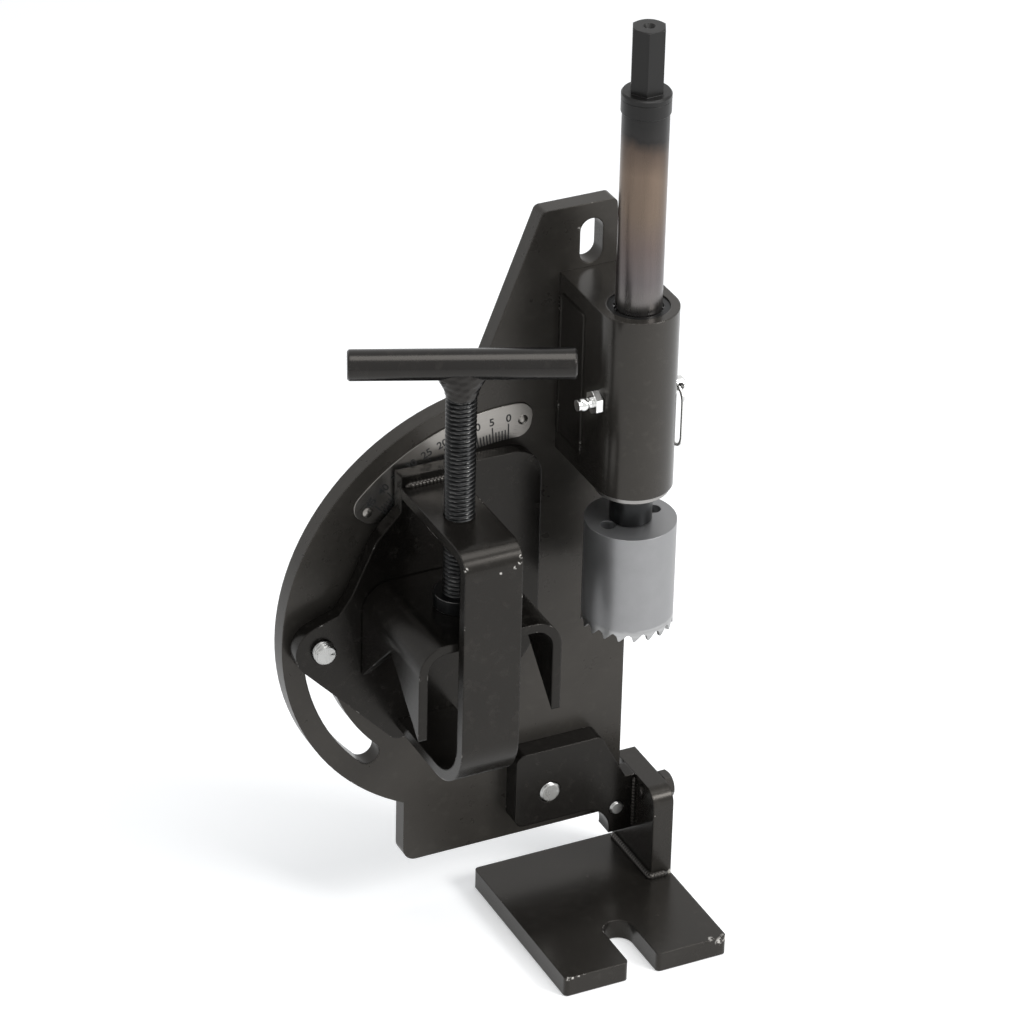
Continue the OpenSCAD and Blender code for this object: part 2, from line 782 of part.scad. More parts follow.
module clamp_strap() {
    top_in = strap_top_z - strap_t;
    color([0.24, 0.24, 0.23])
    difference() {
        side_plate(screw_x - strap_w / 2, strap_w) difference() {
            rounded(
                [[strap_front, strap_low_z], [arm_front, strap_low_z],
                 [arm_front, strap_top_z], [strap_front, strap_top_z]],
                [strap_low_in_r + strap_t, 0, 0, strap_top_in_r + strap_t]);
            rounded(
                [[strap_inner, strap_floor_z], [arm_front + over, strap_floor_z],
                 [arm_front + over, top_in], [strap_inner, top_in]],
                [strap_low_in_r, 0, 0, strap_top_in_r]);
        }
        translate([screw_x, 0, top_in - over])
            cylinder(h = strap_t + 2 * over, d = screw_d + 2 * run_gap);
    }
}

module saddle() {
    left = screw_x + saddle_shift - saddle_w / 2;
    right = left + saddle_w;
    inner_top = saddle_top - saddle_t;
    cut = saddle_half + over;
    color([0.2, 0.2, 0.2])
    difference() {
        front_plate(-saddle_half, 2 * saddle_half) difference() {
            rounded(
                [[left, saddle_low], [right, saddle_low],
                 [right, saddle_top], [left, saddle_top]],
                [0, 0, saddle_in_r + saddle_t, saddle_in_r + saddle_t]);
            rounded(
                [[left + saddle_t, saddle_low - over], [right - saddle_t, saddle_low - over],
                 [right - saddle_t, inner_top], [left + saddle_t, inner_top]],
                [0, 0, saddle_in_r, saddle_in_r]);
        }
        side_plate(left - over, saddle_w + 2 * over)
            polygon([[0, vee_z], [-cut, vee_z - cut], [cut, vee_z - cut]]);
        translate([screw_x, 0, inner_top - over])
            cylinder(h = saddle_t + 2 * over, d = tip_d + 2 * slide_gap);
    }
}

module clamp_screw() {
    low = saddle_top + slide_gap;
    color([0.3, 0.3, 0.3])
    translate([screw_x, 0, 0]) {
        translate([0, 0, low]) cylinder(h = hub_z + hub_h - low, d = screw_d);
        translate([0, 0, saddle_top - saddle_t - slide_gap - tip_h])
            cylinder(h = saddle_t + 2 * slide_gap + tip_h, d = tip_d);
    }
}

module swivel_collar() {
    color([0.5, 0.5, 0.5])
    translate([screw_x, 0, saddle_top + slide_gap]) difference() {
        cylinder(h = swivel_h, d = swivel_d);
        translate([0, 0, -over]) cylinder(h = swivel_h + 2 * over, d = screw_d + 2 * fit_gap);
    }
}

module swivel_tip() {
    color([0.6, 0.6, 0.6])
    translate([screw_x, 0, saddle_top - saddle_t - slide_gap - tip_h]) difference() {
        cylinder(h = tip_h, d = swivel_d);
        translate([0, 0, -over]) cylinder(h = tip_h + 2 * over, d = tip_d + 2 * fit_gap);
    }
}

module weld_collar() {
    color([0.15, 0.15, 0.15])
    difference() {
        translate([screw_x, 0, hub_z]) cylinder(h = hub_h + weld_rise, d = hub_d);
        translate([screw_x, 0, hub_z - over])
            cylinder(h = hub_h + over + fit_gap, d = screw_d + 2 * fit_gap);
        translate([screw_x, 0, bar_z]) rotate([0, 90, bar_angle])
            translate([0, 0, -hub_d]) cylinder(h = 2 * hub_d, d = bar_d + 2 * fit_gap);
    }
}

module handle_bar() {
    color([0.12, 0.12, 0.12])
    translate([screw_x, 0, bar_z]) rotate([0, 90, bar_angle])
        translate([0, 0, -bar_l / 2]) chamfered_bar(bar_d, bar_l);
}

module thrust_washer() {
    color([0.75, 0.75, 0.77])
    translate([0, 0, thrust_low]) difference() {
        cylinder(h = thrust_t, d = thrust_d);
        translate([0, 0, -over]) cylinder(h = thrust_t + 2 * over, d = nose_d + 2 * run_gap);
    }
}

module spindle() {
    color([0.45, 0.36, 0.28])
    difference() {
        union() {
            translate([0, 0, nose_low])
                cylinder(h = chamfer, d1 = nose_d - 2 * chamfer, d2 = nose_d);
            translate([0, 0, nose_low + chamfer])
                cylinder(h = shaft_low - nose_low - chamfer, d = nose_d);
            translate([0, 0, shaft_low]) cylinder(h = spindle_top - shaft_low, d = spindle_d);
            translate([0, 0, spindle_top - collar_h]) {
                cylinder(h = collar_h - chamfer, d = collar_d);
                translate([0, 0, collar_h - chamfer])
                    cylinder(h = chamfer, d1 = collar_d, d2 = collar_d - 2 * chamfer);
            }
            translate([0, 0, spindle_top]) intersection() {
                rotate([0, 0, shank_angle]) hexagon(shank_af, shank_l);
                union() {
                    cylinder(h = shank_l - chamfer, d = 2 * shank_af);
                    translate([0, 0, shank_l - chamfer]) cylinder(h = chamfer,
                        d1 = shank_af / cos(30) + 2 * chamfer, d2 = shank_af);
                }
            }
        }
        bar_x([0, cross_height], -spindle_d, spindle_d, cross_hole_d);
        translate([0, 0, spindle_top + shank_l - centre_hole_h])
            cylinder(h = centre_hole_h + fit_gap, d1 = 0, d2 = centre_hole_d);
    }
}

module arbor_collar() {
    color([0.2, 0.2, 0.2])
    translate([0, 0, saw_top]) difference() {
        cylinder(h = arbor_h, d = arbor_d);
        translate([0, 0, -over]) cylinder(h = arbor_h + 2 * over, d = nose_d + 2 * fit_gap);
    }
}

// One gullet cut through the saw's wall at the front, with its tooth's tip at X = 0
module gullet() {
    pitch = PI * saw_d / tooth_count;
    function place(share) = [share[0] * pitch, saw_low + share[1] * gullet_h];
    // Point below the rim on the line from one point of the gullet through the next
    function below(high, low) = low + unit(low - high) * over;
    last = len(gullet_shares) - 1;
    translate([0, -saw_d / 2 + saw_wall + 2 * over, 0]) rotate([90, 0, 0])
        linear_extrude(saw_wall + 3 * over) polygon(concat(
            [below(place(gullet_shares[1]), place(gullet_shares[0]))],
            [for (i = [1:last - 1]) place(gullet_shares[i])],
            [below(place(gullet_shares[last - 1]), place(gullet_shares[last]))]));
}

module hole_saw() {
    color([0.66, 0.68, 0.7])
    difference() {
        translate([0, 0, saw_low]) cylinder(h = saw_h, d = saw_d, $fn = 96);
        translate([0, 0, saw_low - over])
            cylinder(h = saw_h - saw_cap_t + over, d = saw_d - 2 * saw_wall, $fn = 96);
        translate([0, 0, saw_low]) cylinder(h = saw_h + over, d = nose_d + 2 * fit_gap);
        for (angle = [drive_hole_angle, drive_hole_angle + 180]) {
            translate(concat(polar([0, 0], drive_hole_r, angle), [saw_low]))
                cylinder(h = saw_h + over, d = drive_hole_d);
        }
        for (i = [0:tooth_count - 1]) {
            rotate([0, 0, 360 * i / tooth_count]) gullet();
        }
    }
}

module lock_pin() {
    color([0.8, 0.8, 0.82])
    difference() {
        translate([pin_nose_x, 0, cross_height]) rotate([0, 90, 0])
            chamfered_bar(pin_d, housing_w / 2 + pin_out - pin_nose_x);
        bar_y([ring_x, cross_height], -pin_d, pin_d, ring_hole_d);
    }
}

// Half of a ring of wire that stands across the X axis, arched upwards
module half_ring(centre_d) {
    size = centre_d + 2 * ring_wire;
    intersection() {
        rotate([0, 90, 0]) rotate_extrude() translate([centre_d / 2, 0]) circle(d = ring_wire);
        translate([-ring_wire, -size / 2, 0]) cube([2 * ring_wire, size, size / 2]);
    }
}

module pull_ring() {
    straight = ring_h - ring_w;
    color([0.8, 0.8, 0.82])
    translate([ring_x, 0, cross_height - ring_w / 2]) {
        half_ring(ring_w);
        for (side = [-1, 1]) {
            translate([0, side * ring_w / 2, -straight]) cylinder(h = straight, d = ring_wire);
        }
        translate([0, 0, -straight]) mirror([0, 0, 1]) half_ring(ring_w);
    }
}

foot_plate();
foot_upright();
foot_flange();
foot_bolts();
upright_bolt();
main_plate();
angle_scale();
scale_rivets();
spindle_housing();
housing_bolts();
upper_bearing_cup();
lower_bearing_cup();
upper_needles();
lower_needles();
grease_nipple();
arm_plate();
pivot_bolt();
pivot_spacer();
lock_bolt();
lock_spacer();
arm_washers();
clamp_strap();
saddle();
clamp_screw();
swivel_collar();
swivel_tip();
weld_collar();
handle_bar();
thrust_washer();
spindle();
arbor_collar();
hole_saw();
lock_pin();
pull_ring();
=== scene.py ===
"""Looks of a bench tube notcher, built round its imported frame.

Plates, housing, saw and strap keep their CAD shapes and get procedural finishes. Threads, bolts,
weld beads, the angle scale, the nameplate and the turned rings are surfaces worked out here with
numpy, in metres in the shared frame: X to the right, Y away from the user, Z up, with the origin
under the spindle's axis.
"""
from __future__ import annotations

import logging
import math
from dataclasses import dataclass
from enum import Enum
from functools import cached_property
from typing import Any, Callable, Sequence

import bpy
import numpy as np
from mathutils import Matrix, Vector


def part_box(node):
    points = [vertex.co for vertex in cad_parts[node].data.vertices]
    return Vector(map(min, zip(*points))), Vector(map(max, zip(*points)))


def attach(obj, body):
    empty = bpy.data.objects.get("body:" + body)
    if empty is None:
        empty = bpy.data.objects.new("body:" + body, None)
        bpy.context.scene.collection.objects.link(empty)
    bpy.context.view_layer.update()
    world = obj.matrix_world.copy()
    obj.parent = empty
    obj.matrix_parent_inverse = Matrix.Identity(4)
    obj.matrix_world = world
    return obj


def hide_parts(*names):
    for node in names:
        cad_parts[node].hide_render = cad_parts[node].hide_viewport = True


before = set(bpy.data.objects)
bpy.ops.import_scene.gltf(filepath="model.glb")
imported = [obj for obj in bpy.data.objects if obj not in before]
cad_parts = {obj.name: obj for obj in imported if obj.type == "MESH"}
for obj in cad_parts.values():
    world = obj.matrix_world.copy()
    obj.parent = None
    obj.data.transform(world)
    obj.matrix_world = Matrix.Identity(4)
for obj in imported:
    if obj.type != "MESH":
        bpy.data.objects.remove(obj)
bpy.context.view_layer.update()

LOG = logging.getLogger("tube_notcher")
MM = 0.001
PIVOT = (-38.5 * MM, 149.0 * MM)
PLATE_FRONT = 37.0 * MM
PLATE_BACK = 44.94 * MM
FORWARD = Vector((0.0, -1.0, 0.0))
TURN = 2.0 * np.pi
IMAGE = 1024.0
SENSOR = 36.0

Pair = tuple[float, float]
Triple = tuple[float, float, float]
Inputs = dict[Any, Any] | None
Piece = bpy.types.Object
Material = bpy.types.Material
Grid = np.ndarray


class Slot(Enum):
    """Material slots of the record."""

    BLACK_PAINT = "black_paint"
    HOUSING_PAINT = "housing_paint"
    GLOSS_PAINT = "gloss_paint"
    BRIGHT_ZINC = "bright_zinc"
    TURNED_STEEL = "turned_steel"
    TEMPERED_STEEL = "tempered_steel"
    BLACK_OXIDE = "black_oxide"
    SCALE_ALUMINIUM = "scale_aluminium"


def joining(operation: str, reflected: bool = False) -> Callable[[Value, Any], Value]:
    """An operator method that adds one Math node; reflected puts the value second."""
    def method(self: Value, other: Any) -> Value:
        """Joins the value and a number or another value."""
        pair = (other, self) if reflected else (self, other)
        return self.tree.math(operation, *pair)

    return method


@dataclass(frozen=True, eq=False)
class Value:
    """A node's output in a tree; every operation on it adds one Math node."""

    tree: Tree
    socket: Any

    __add__, __radd__ = joining("ADD"), joining("ADD", True)
    __sub__, __rsub__ = joining("SUBTRACT"), joining("SUBTRACT", True)
    __mul__, __rmul__ = joining("MULTIPLY"), joining("MULTIPLY", True)
    __truediv__, __rtruediv__ = joining("DIVIDE"), joining("DIVIDE", True)
    power = joining("POWER")
    larger = joining("MAXIMUM")

    def clamp(self) -> Value:
        """The value cut off at 0 and 1."""
        return self.tree.math("ADD", self, 0.0, clamp=True)

    def span(self, low: float, high: float) -> Value:
        """The value rescaled so that low gives 0 and high gives 1, cut off outside."""
        return ((self - low) * (1.0 / (high - low))).clamp()


class Tree:
    """The node tree of a material or a world."""

    def __init__(self, owner: Any) -> None:
        """Turns the owner's nodes on and clears them."""
        owner.use_nodes = True
        self.nodes = owner.node_tree.nodes
        self.links = owner.node_tree.links
        self.nodes.clear()

    def node(self, kind: str, settings: Inputs = None, inputs: Inputs = None) -> Any:
        """Adds any node: its settings come first, then its socket values or links.

        Args:
            kind: The node's type name.
            settings: Attributes of the node; "stops" fills a colour ramp.
            inputs: Socket names or numbers, each with a number, a vector, an output or a Value.

        Returns:
            The node.
        """
        made = self.nodes.new(kind)
        for key, setting in (settings or {}).items():
            if key == "stops":
                self._fill_ramp(made, setting)
            else:
                setattr(made, key, setting)
        for key, given in (inputs or {}).items():
            self.feed(made.inputs[key], given)
        return made

    def feed(self, socket: Any, given: Any) -> None:
        """Links an output to a socket, or sets a plain number, colour or vector on it."""
        if isinstance(given, Value):
            given = given.socket
        if isinstance(given, bpy.types.NodeSocket):
            self.links.new(given, socket)
        elif isinstance(given, (tuple, list)) and socket.type == "RGBA":
            socket.default_value = (*given, 1.0)
        else:
            socket.default_value = given

    @staticmethod
    def _fill_ramp(ramp_node: Any, stops: Sequence[tuple[float, Triple]]) -> None:
        """Writes the stops of a colour ramp."""
        ramp = ramp_node.color_ramp
        while len(ramp.elements) > 1:
            ramp.elements.remove(ramp.elements[-1])
        for number, (place, colour) in enumerate(stops):
            element = ramp.elements[0] if number == 0 else ramp.elements.new(place)
            element.position = place
            element.color = (*colour, 1.0)

    def value(self, kind: str, settings: Inputs = None, inputs: Inputs = None,
              output: Any = 0) -> Value:
        """Adds a node and wraps one of its outputs."""
        return Value(self, self.node(kind, settings, inputs).outputs[output])

    def math(self, operation: str, first: Any, second: Any = 0.0, clamp: bool = False) -> Value:
        """A Math node on two operands, cut off at 0 and 1 if asked."""
        return self.value("ShaderNodeMath", {"operation": operation, "use_clamp": clamp},
                          {0: first, 1: second})


class Shader(Tree):
    """One procedural material with a Principled surface."""

    def __init__(self, name: str) -> None:
        """Makes the material under its name."""
        self.material = bpy.data.materials.new(name)
        super().__init__(self.material)
        self.surface = self.node("ShaderNodeBsdfPrincipled")
        self.node("ShaderNodeOutputMaterial", {}, {"Surface": self.surface.outputs[0]})

    @cached_property
    def place(self) -> Value:
        """Object coordinates, in metres."""
        return self.value("ShaderNodeTexCoord", output="Object")

    def stretched(self, scale: Triple) -> Value:
        """Object coordinates times a factor for each axis."""
        return self.value("ShaderNodeMapping", {}, {"Vector": self.place, "Scale": scale})

    def axes(self) -> tuple[Value, Value, Value]:
        """The three object coordinates on their own."""
        made = self.node("ShaderNodeSeparateXYZ", {}, {0: self.place})
        return tuple(Value(self, made.outputs[n]) for n in range(3))

    def noise(self, scale: float, detail: float = 3.0, where: Value | None = None) -> Value:
        """Cloudy noise from 0 to 1, with scale features per metre and detail finer layers."""
        return self.value("ShaderNodeTexNoise", {}, {"Vector": where or self.place,
                                                     "Scale": scale, "Detail": detail})

    def near(self, point: Triple, reach: float) -> Value:
        """A value that falls from 1 at a point to 0 at its reach."""
        distance = self.value("ShaderNodeVectorMath", {"operation": "DISTANCE"},
                              {0: self.place, 1: point}, "Value")
        return (1.0 - distance * (1.0 / reach)).clamp()

    def blend(self, share: Any, low: Any, high: Any) -> Value:
        """The colour low where share is 0 and high where it is 1."""
        return self.value("ShaderNodeMix", {"data_type": "RGBA"}, {0: share, 6: low, 7: high}, 2)

    def tint(self, colour: Any, factor: Any) -> Value:
        """A colour times a grey value."""
        grey = self.value("ShaderNodeCombineXYZ", {}, {0: factor, 1: factor, 2: factor})
        return self.value("ShaderNodeMix", {"data_type": "RGBA", "blend_type": "MULTIPLY"},
                          {0: 1.0, 6: colour, 7: grey}, 2)

    def rounded_normal(self, radius: float) -> Value:
        """The surface normal with every edge rounded over a radius."""
        return self.value("ShaderNodeBevel", {"samples": 4}, {"Radius": radius})

    def edges(self, normal: Value) -> Value:
        """How far a rounded normal leaves the true one: 0 on flats and up to 1 on edges."""
        true = self.value("ShaderNodeNewGeometry", output="True Normal")
        along_true = self.value("ShaderNodeVectorMath", {"operation": "DOT_PRODUCT"},
                                {0: normal, 1: true}, "Value")
        return ((1.0 - along_true) * 3.4).clamp()

    def bump(self, height: Value, distance: float, normal: Value) -> Value:
        """A normal moved by a height between 0 and 1, whose full step is a distance."""
        return self.value("ShaderNodeBump", {}, {"Height": height, "Distance": distance,
                                                 "Strength": 1.0, "Normal": normal})

    def done(self, **sockets: Any) -> Material:
        """Feeds the Principled sockets, named with underscores, and returns the material."""
        for name, given in sockets.items():
            self.feed(self.surface.inputs[name.replace("_", " ")], given)
        return self.material


@dataclass(frozen=True)
class Enamel:
    """Glossy enamel on steel: faint orange peel, dust, and chips on edges and at set places."""

    name: str
    colour: Triple = (0.0125, 0.0113, 0.0098)
    roughness: float = 0.22
    gloss: float = 0.3
    chips: float = 0.66
    edge: float = 0.0009
    peel: float = 0.000005
    marks: Sequence[tuple[float, ...]] = ()

    def make(self) -> Material:
        """Builds the material; a mark is a place and a reach, in millimetres."""
        s = Shader(self.name)
        soft = s.rounded_normal(self.edge)
        cloud = s.noise(38.0, 4.0)
        dust = s.noise(260.0, 6.0)
        peel = s.noise(900.0, 1.0)
        patches = s.noise(95.0)
        specks = s.noise(720.0)
        worn = s.edges(soft).span(0.3, 0.8) * patches.span(self.chips - 0.02, self.chips + 0.04)
        for x, y, z, reach in self.marks:
            worn = worn + s.near((x * MM, y * MM, z * MM), reach * MM).span(0.0, 0.6)
        worn = (worn.clamp() * specks.span(0.5, 0.56)).clamp()
        paint = s.tint(self.colour, 0.6 + cloud * 0.8)
        paint = s.blend(dust.span(0.56, 0.8) * 0.06, paint, (0.16, 0.147, 0.13))
        steel = s.tint((0.55, 0.53, 0.5), 0.6 + dust * 0.6)
        height = peel * (1.0 - worn) - worn * 8.0
        return s.done(
            Base_Color=s.blend(worn, paint, steel), Metallic=worn * 0.6,
            Roughness=self.roughness - 0.05 + cloud * 0.06 + dust * 0.08 + worn * 0.2,
            Specular_IOR_Level=self.gloss, Specular_Tint=(1.0, 0.94, 0.87),
            Normal=s.bump(height, self.peel, soft))


@dataclass(frozen=True)
class PlatedSteel:
    """Bright plating or ground steel: faint clouding, wiping marks and soft edges."""

    name: str
    colour: Triple
    roughness: float = 0.26
    mottle: float = 0.14
    edge: float = 0.0004

    def make(self) -> Material:
        """Builds the material."""
        s = Shader(self.name)
        cells = s.value("ShaderNodeTexVoronoi", {}, {"Vector": s.place, "Scale": 900.0})
        cloud = s.noise(160.0, 4.0)
        wipes = s.noise(500.0, 2.0, s.stretched((1.0, 1.0, 0.12)))
        tone = 1.0 - self.mottle + cloud * self.mottle + (cells * 2.0).clamp() * 0.06
        return s.done(
            Base_Color=s.tint(self.colour, tone), Metallic=1.0,
            Roughness=self.roughness + cloud * 0.12 + wipes * 0.08 - 0.08,
            Normal=s.bump(wipes, 0.000004, s.rounded_normal(self.edge)))


@dataclass(frozen=True)
class BlackOxide:
    """Oiled black oxide on turned steel, rubbed brighter on its edges and crests."""

    name: str
    colour: Triple = (0.02, 0.0205, 0.021)
    roughness: float = 0.3
    rub: float = 0.95

    def make(self) -> Material:
        """Builds the material."""
        s = Shader(self.name)
        soft = s.rounded_normal(0.0003)
        cloud = s.noise(240.0, 4.0)
        rubbed = (s.edges(soft).span(0.12, 0.9) * cloud.span(0.35, 0.6) * self.rub).clamp()
        dark = s.tint(self.colour, 0.7 + cloud * 0.6)
        return s.done(
            Base_Color=s.blend(rubbed, dark, (0.5, 0.49, 0.47)), Metallic=0.85,
            Roughness=self.roughness - 0.06 + cloud * 0.14,
            Normal=s.bump(cloud, 0.00001, soft))


@dataclass(frozen=True)
class TemperColours:
    """Ground steel drawn in heat: black above, bronze and purple below, bare near the block."""

    name: str
    low: float = 288.0 * MM
    high: float = 380.0 * MM

    def make(self) -> Material:
        """Builds the material; the colours follow the height and waver with noise."""
        s = Shader(self.name)
        x, _, z = s.axes()
        streaks = s.noise(330.0, 3.0, s.stretched((1.0, 1.0, 0.07)))
        cloud = s.noise(70.0)
        waver = (cloud - 0.5) * 0.01 + (streaks - 0.5) * 0.004
        height = (z + waver + x * 0.12).span(self.low, self.high)
        colour = s.value("ShaderNodeValToRGB", {"stops": (
            (0.0, (0.2, 0.192, 0.184)), (0.12, (0.145, 0.137, 0.131)), (0.26, (0.112, 0.1, 0.1)),
            (0.42, (0.115, 0.092, 0.085)), (0.58, (0.142, 0.108, 0.084)),
            (0.76, (0.15, 0.112, 0.086)), (0.87, (0.09, 0.068, 0.055)),
            (0.93, (0.018, 0.0165, 0.016)), (1.0, (0.012, 0.0115, 0.011)))}, {0: height})
        black = height.span(0.87, 0.95)
        specks = s.noise(900.0, 4.0)
        return s.done(
            Base_Color=s.tint(colour, 0.8 + streaks * 0.4), Metallic=0.96 - black * 0.4,
            Roughness=0.2 + streaks * 0.16 + black * 0.08,
            Normal=s.bump(streaks * 0.7 + specks * 0.3, 0.000012, s.rounded_normal(0.0004)))


@dataclass(frozen=True)
class SawEnamel:
    """Pale grey enamel on the saw's cup, worn to bare steel at the teeth and the cap's edge."""

    name: str
    rim: float
    colour: Triple = (0.255, 0.255, 0.258)

    def make(self) -> Material:
        """Builds the material; the bare band follows the height above the rim."""
        s = Shader(self.name)
        soft = s.rounded_normal(0.0005)
        _, _, z = s.axes()
        cloud = s.noise(120.0, 4.0)
        peel = s.noise(2100.0, 2.0)
        rings = s.noise(700.0, 2.0, s.stretched((0.08, 0.08, 1.0)))
        bare = (z + (cloud - 0.5) * 0.004).span(self.rim + 0.0052, self.rim + 0.0042)
        worn = (s.edges(soft).span(0.35, 0.9) * cloud.span(0.5, 0.6)).clamp()
        steel = bare.larger(worn)
        paint = s.tint(self.colour, 0.86 + cloud * 0.2 + peel * 0.06)
        metal = s.tint((0.38, 0.38, 0.38), 0.6 + rings * 0.6)
        return s.done(
            Base_Color=s.blend(steel, paint, metal), Metallic=0.82 + steel * 0.16,
            Roughness=0.36 + cloud * 0.1 - steel * 0.1,
            Normal=s.bump(peel * 0.7 + rings * 0.3, 0.000014, soft))


@dataclass(frozen=True)
class ArcBrushedAluminium:
    """Aluminium strip brushed along its arc about the pivot."""

    name: str
    colour: Triple = (0.25, 0.238, 0.222)

    def make(self) -> Material:
        """Builds the material: noise on the radius alone gives brush lines along the arc."""
        s = Shader(self.name)
        x, _, z = s.axes()
        dx, dz = x - PIVOT[0], z - PIVOT[1]
        radius = (dx * dx + dz * dz).power(0.5)
        angle = s.math("ARCTAN2", dz, dx)
        polar = s.value("ShaderNodeCombineXYZ", {}, {0: radius * 5200.0, 1: angle * 9.0})
        lines = s.noise(1.0, 3.0, polar)
        stain = s.noise(90.0, 4.0)
        return s.done(
            Base_Color=s.tint(self.colour, 0.6 + lines * 0.3 + stain * 0.5), Metallic=1.0,
            Roughness=0.2 + lines * 0.12 + stain * 0.08,
            Normal=s.bump(lines, 0.000005, s.rounded_normal(0.0003)))


@dataclass(frozen=True)
class TurnedSteel:
    """Steel faced in a lathe: fine rings about the spindle's axis."""

    name: str
    colour: Triple = (0.3, 0.29, 0.28)

    def make(self) -> Material:
        """Builds the material: a fine noise on the distance from the axis."""
        s = Shader(self.name)
        x, y, z = s.axes()
        radius = (x * x + y * y).power(0.5)
        rings = s.noise(1.0, 2.0, s.value("ShaderNodeCombineXYZ", {},
                                          {0: radius * 4200.0, 1: z * 4200.0}))
        oil = s.noise(130.0, 4.0)
        return s.done(
            Base_Color=s.tint(self.colour, 0.66 + rings * 0.26 + oil * 0.28), Metallic=1.0,
            Roughness=0.24 + rings * 0.1 + oil * 0.1,
            Normal=s.bump(rings, 0.000006, s.rounded_normal(0.0004)))


@dataclass(frozen=True)
class Ink:
    """Matt black ink of the scale's marks, thin in places."""

    name: str
    colour: Triple = (0.012, 0.012, 0.012)

    def make(self) -> Material:
        """Builds the material."""
        s = Shader(self.name)
        thin = s.noise(1400.0)
        return s.done(
            Base_Color=s.blend(thin.span(0.6, 0.8) * 0.35, self.colour, (0.16, 0.155, 0.15)),
            Roughness=0.5 + thin * 0.2)


class Finishes:
    """All finishes of the object, each built once and kept under its name."""

    def __init__(self) -> None:
        """Builds every material from its finish."""
        # Painted light: the main plate gets a lighter copy of the black enamel, standing in for
        # the light on its face; its marks are chips.
        self.plate = Enamel("plate_enamel_painted_light", (0.025, 0.0228, 0.02), 0.27, marks=(
            (-26.4, 37.0, 332.3, 1.1), (-8.5, 37.0, 316.0, 0.9), (-58.0, 37.0, 268.0, 0.9))).make()
        # Painted shade: a darker copy of the black enamel for the swinging plate, the flange and
        # the saddle, standing in for the shadow they sit in.
        self.arm = Enamel("arm_enamel_painted_shade", (0.0045, 0.0041, 0.0036), 0.2, 0.22).make()
        self.black = Enamel("black_enamel", marks=(
            (30.2, -42.6, 8.7, 2.6), (27.5, -42.6, 7.2, 2.2), (24.0, -41.5, 9.0, 1.6),
            (-43.8, -42.6, 8.9, 1.5), (-41.6, -42.6, 8.9, 1.1), (-39.0, -42.6, 8.9, 0.9),
            (30.8, 9.3, 9.5, 1.4), (28.0, 9.3, 9.4, 1.1), (21.9, 9.6, 40.0, 1.0))).make()
        # Painted shade: the strap gets a darker copy of the black enamel, matched to how dark its
        # front shows under the light; its marks are chips.
        self.strap = Enamel("strap_enamel_painted_shade", (0.0072, 0.0065, 0.0057), 0.22, 0.24, 0.62, marks=(
            (-66.4, -32.6, 212.5, 1.3), (-68.3, -32.8, 210.5, 1.0), (-65.2, -31.5, 214.5, 1.2),
            (-74.5, -32.8, 209.5, 0.9), (-89.6, -31.8, 214.0, 1.2))).make()
        self.housing = Enamel("housing_enamel", (0.0165, 0.015, 0.013), 0.2, 0.4).make()
        self.gloss = Enamel("gloss_enamel", (0.0075, 0.0073, 0.0075), 0.17, 0.32, 0.7, 0.0007,
                            0.000006).make()
        self.weld = Enamel("painted_weld", (0.011, 0.01, 0.009), 0.2, 0.4, 0.7, 0.0003).make()
        self.zinc = PlatedSteel("zinc_plate", (0.4, 0.4, 0.39)).make()
        self.nickel = PlatedSteel("nickel_plate", (0.74, 0.74, 0.73), 0.14, 0.08).make()
        self.needle = PlatedSteel("needle_steel", (0.62, 0.62, 0.63), 0.2, 0.1, 0.0002).make()
        self.oxide = BlackOxide("black_oxide_steel").make()
        self.temper = TemperColours("temper_coloured_steel").make()
        self.saw = SawEnamel("saw_enamel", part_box("hole_saw")[0].z).make()
        self.scale = ArcBrushedAluminium("brushed_scale").make()
        self.turned = TurnedSteel("turned_steel_face").make()
        self.ink = Ink("scale_ink").make()


def linked(thing: Piece) -> Piece:
    """Puts an object into the scene and hands it back."""
    bpy.context.scene.collection.objects.link(thing)
    return thing


def made_piece(name: str, points: Grid, faces: list[Sequence[int]],
               crease: float | None = None) -> Piece:
    """Makes a linked piece from points and faces.

    Args:
        name: Name of the piece.
        points: Array of shape (points, 3), in metres.
        faces: Point numbers of each face, anticlockwise seen from outside.
        crease: Edges sharper than this many degrees stay sharp; None leaves the piece flat.

    Returns:
        The piece.
    """
    mesh = bpy.data.meshes.new(name)
    mesh.from_pydata(points.tolist(), [], faces)
    if crease is not None:
        mesh.polygons.foreach_set("use_smooth", np.ones(len(mesh.polygons), dtype=bool))
        mesh.set_sharp_from_angle(angle=math.radians(crease))
    mesh.update()
    return linked(bpy.data.objects.new(name, mesh))


def circle(columns: int) -> Grid:
    """Evenly spaced angles of one turn, in radians."""
    return np.linspace(0.0, TURN, columns, endpoint=False)


def closed_surface(name: str, rings: Grid, place: Matrix | None = None,
                   crease: float = 38.0) -> Piece:
    """Makes one closed piece from rings of points, with a fan on a middle point at each end.

    Face (i, j) joins points (i, j), (i, j+1), (i+1, j+1) and (i+1, j), with j counted round. The
    rings run so that their points turn anticlockwise seen against the way they advance.

    Args:
        name: Name of the piece.
        rings: Array of shape (rings, points, 3), in metres.
        place: Turn and shift into the shared frame, or None.
        crease: Edges sharper than this many degrees stay sharp.

    Returns:
        The piece.
    """
    rows, columns, _ = rings.shape
    ends = np.stack([rings[0].mean(axis=0), rings[-1].mean(axis=0)])
    points = np.concatenate([rings.reshape(-1, 3), ends])
    if place is not None:
        points = points @ np.array(place.to_3x3()).T + np.array(place.translation)
    i, j = np.meshgrid(np.arange(rows - 1), np.arange(columns), indexing="ij")
    k = (j + 1) % columns
    quads = np.stack([i * columns + j, i * columns + k, (i + 1) * columns + k,
                      (i + 1) * columns + j], axis=-1).reshape(-1, 4)
    j, k, last = j[0], k[0], (rows - 1) * columns
    start_fan = np.stack([np.full(columns, rows * columns), k, j], axis=-1)
    end_fan = np.stack([np.full(columns, rows * columns + 1), last + j, last + k], axis=-1)
    return made_piece(name, points, quads.tolist() + start_fan.tolist() + end_fan.tolist(), crease)


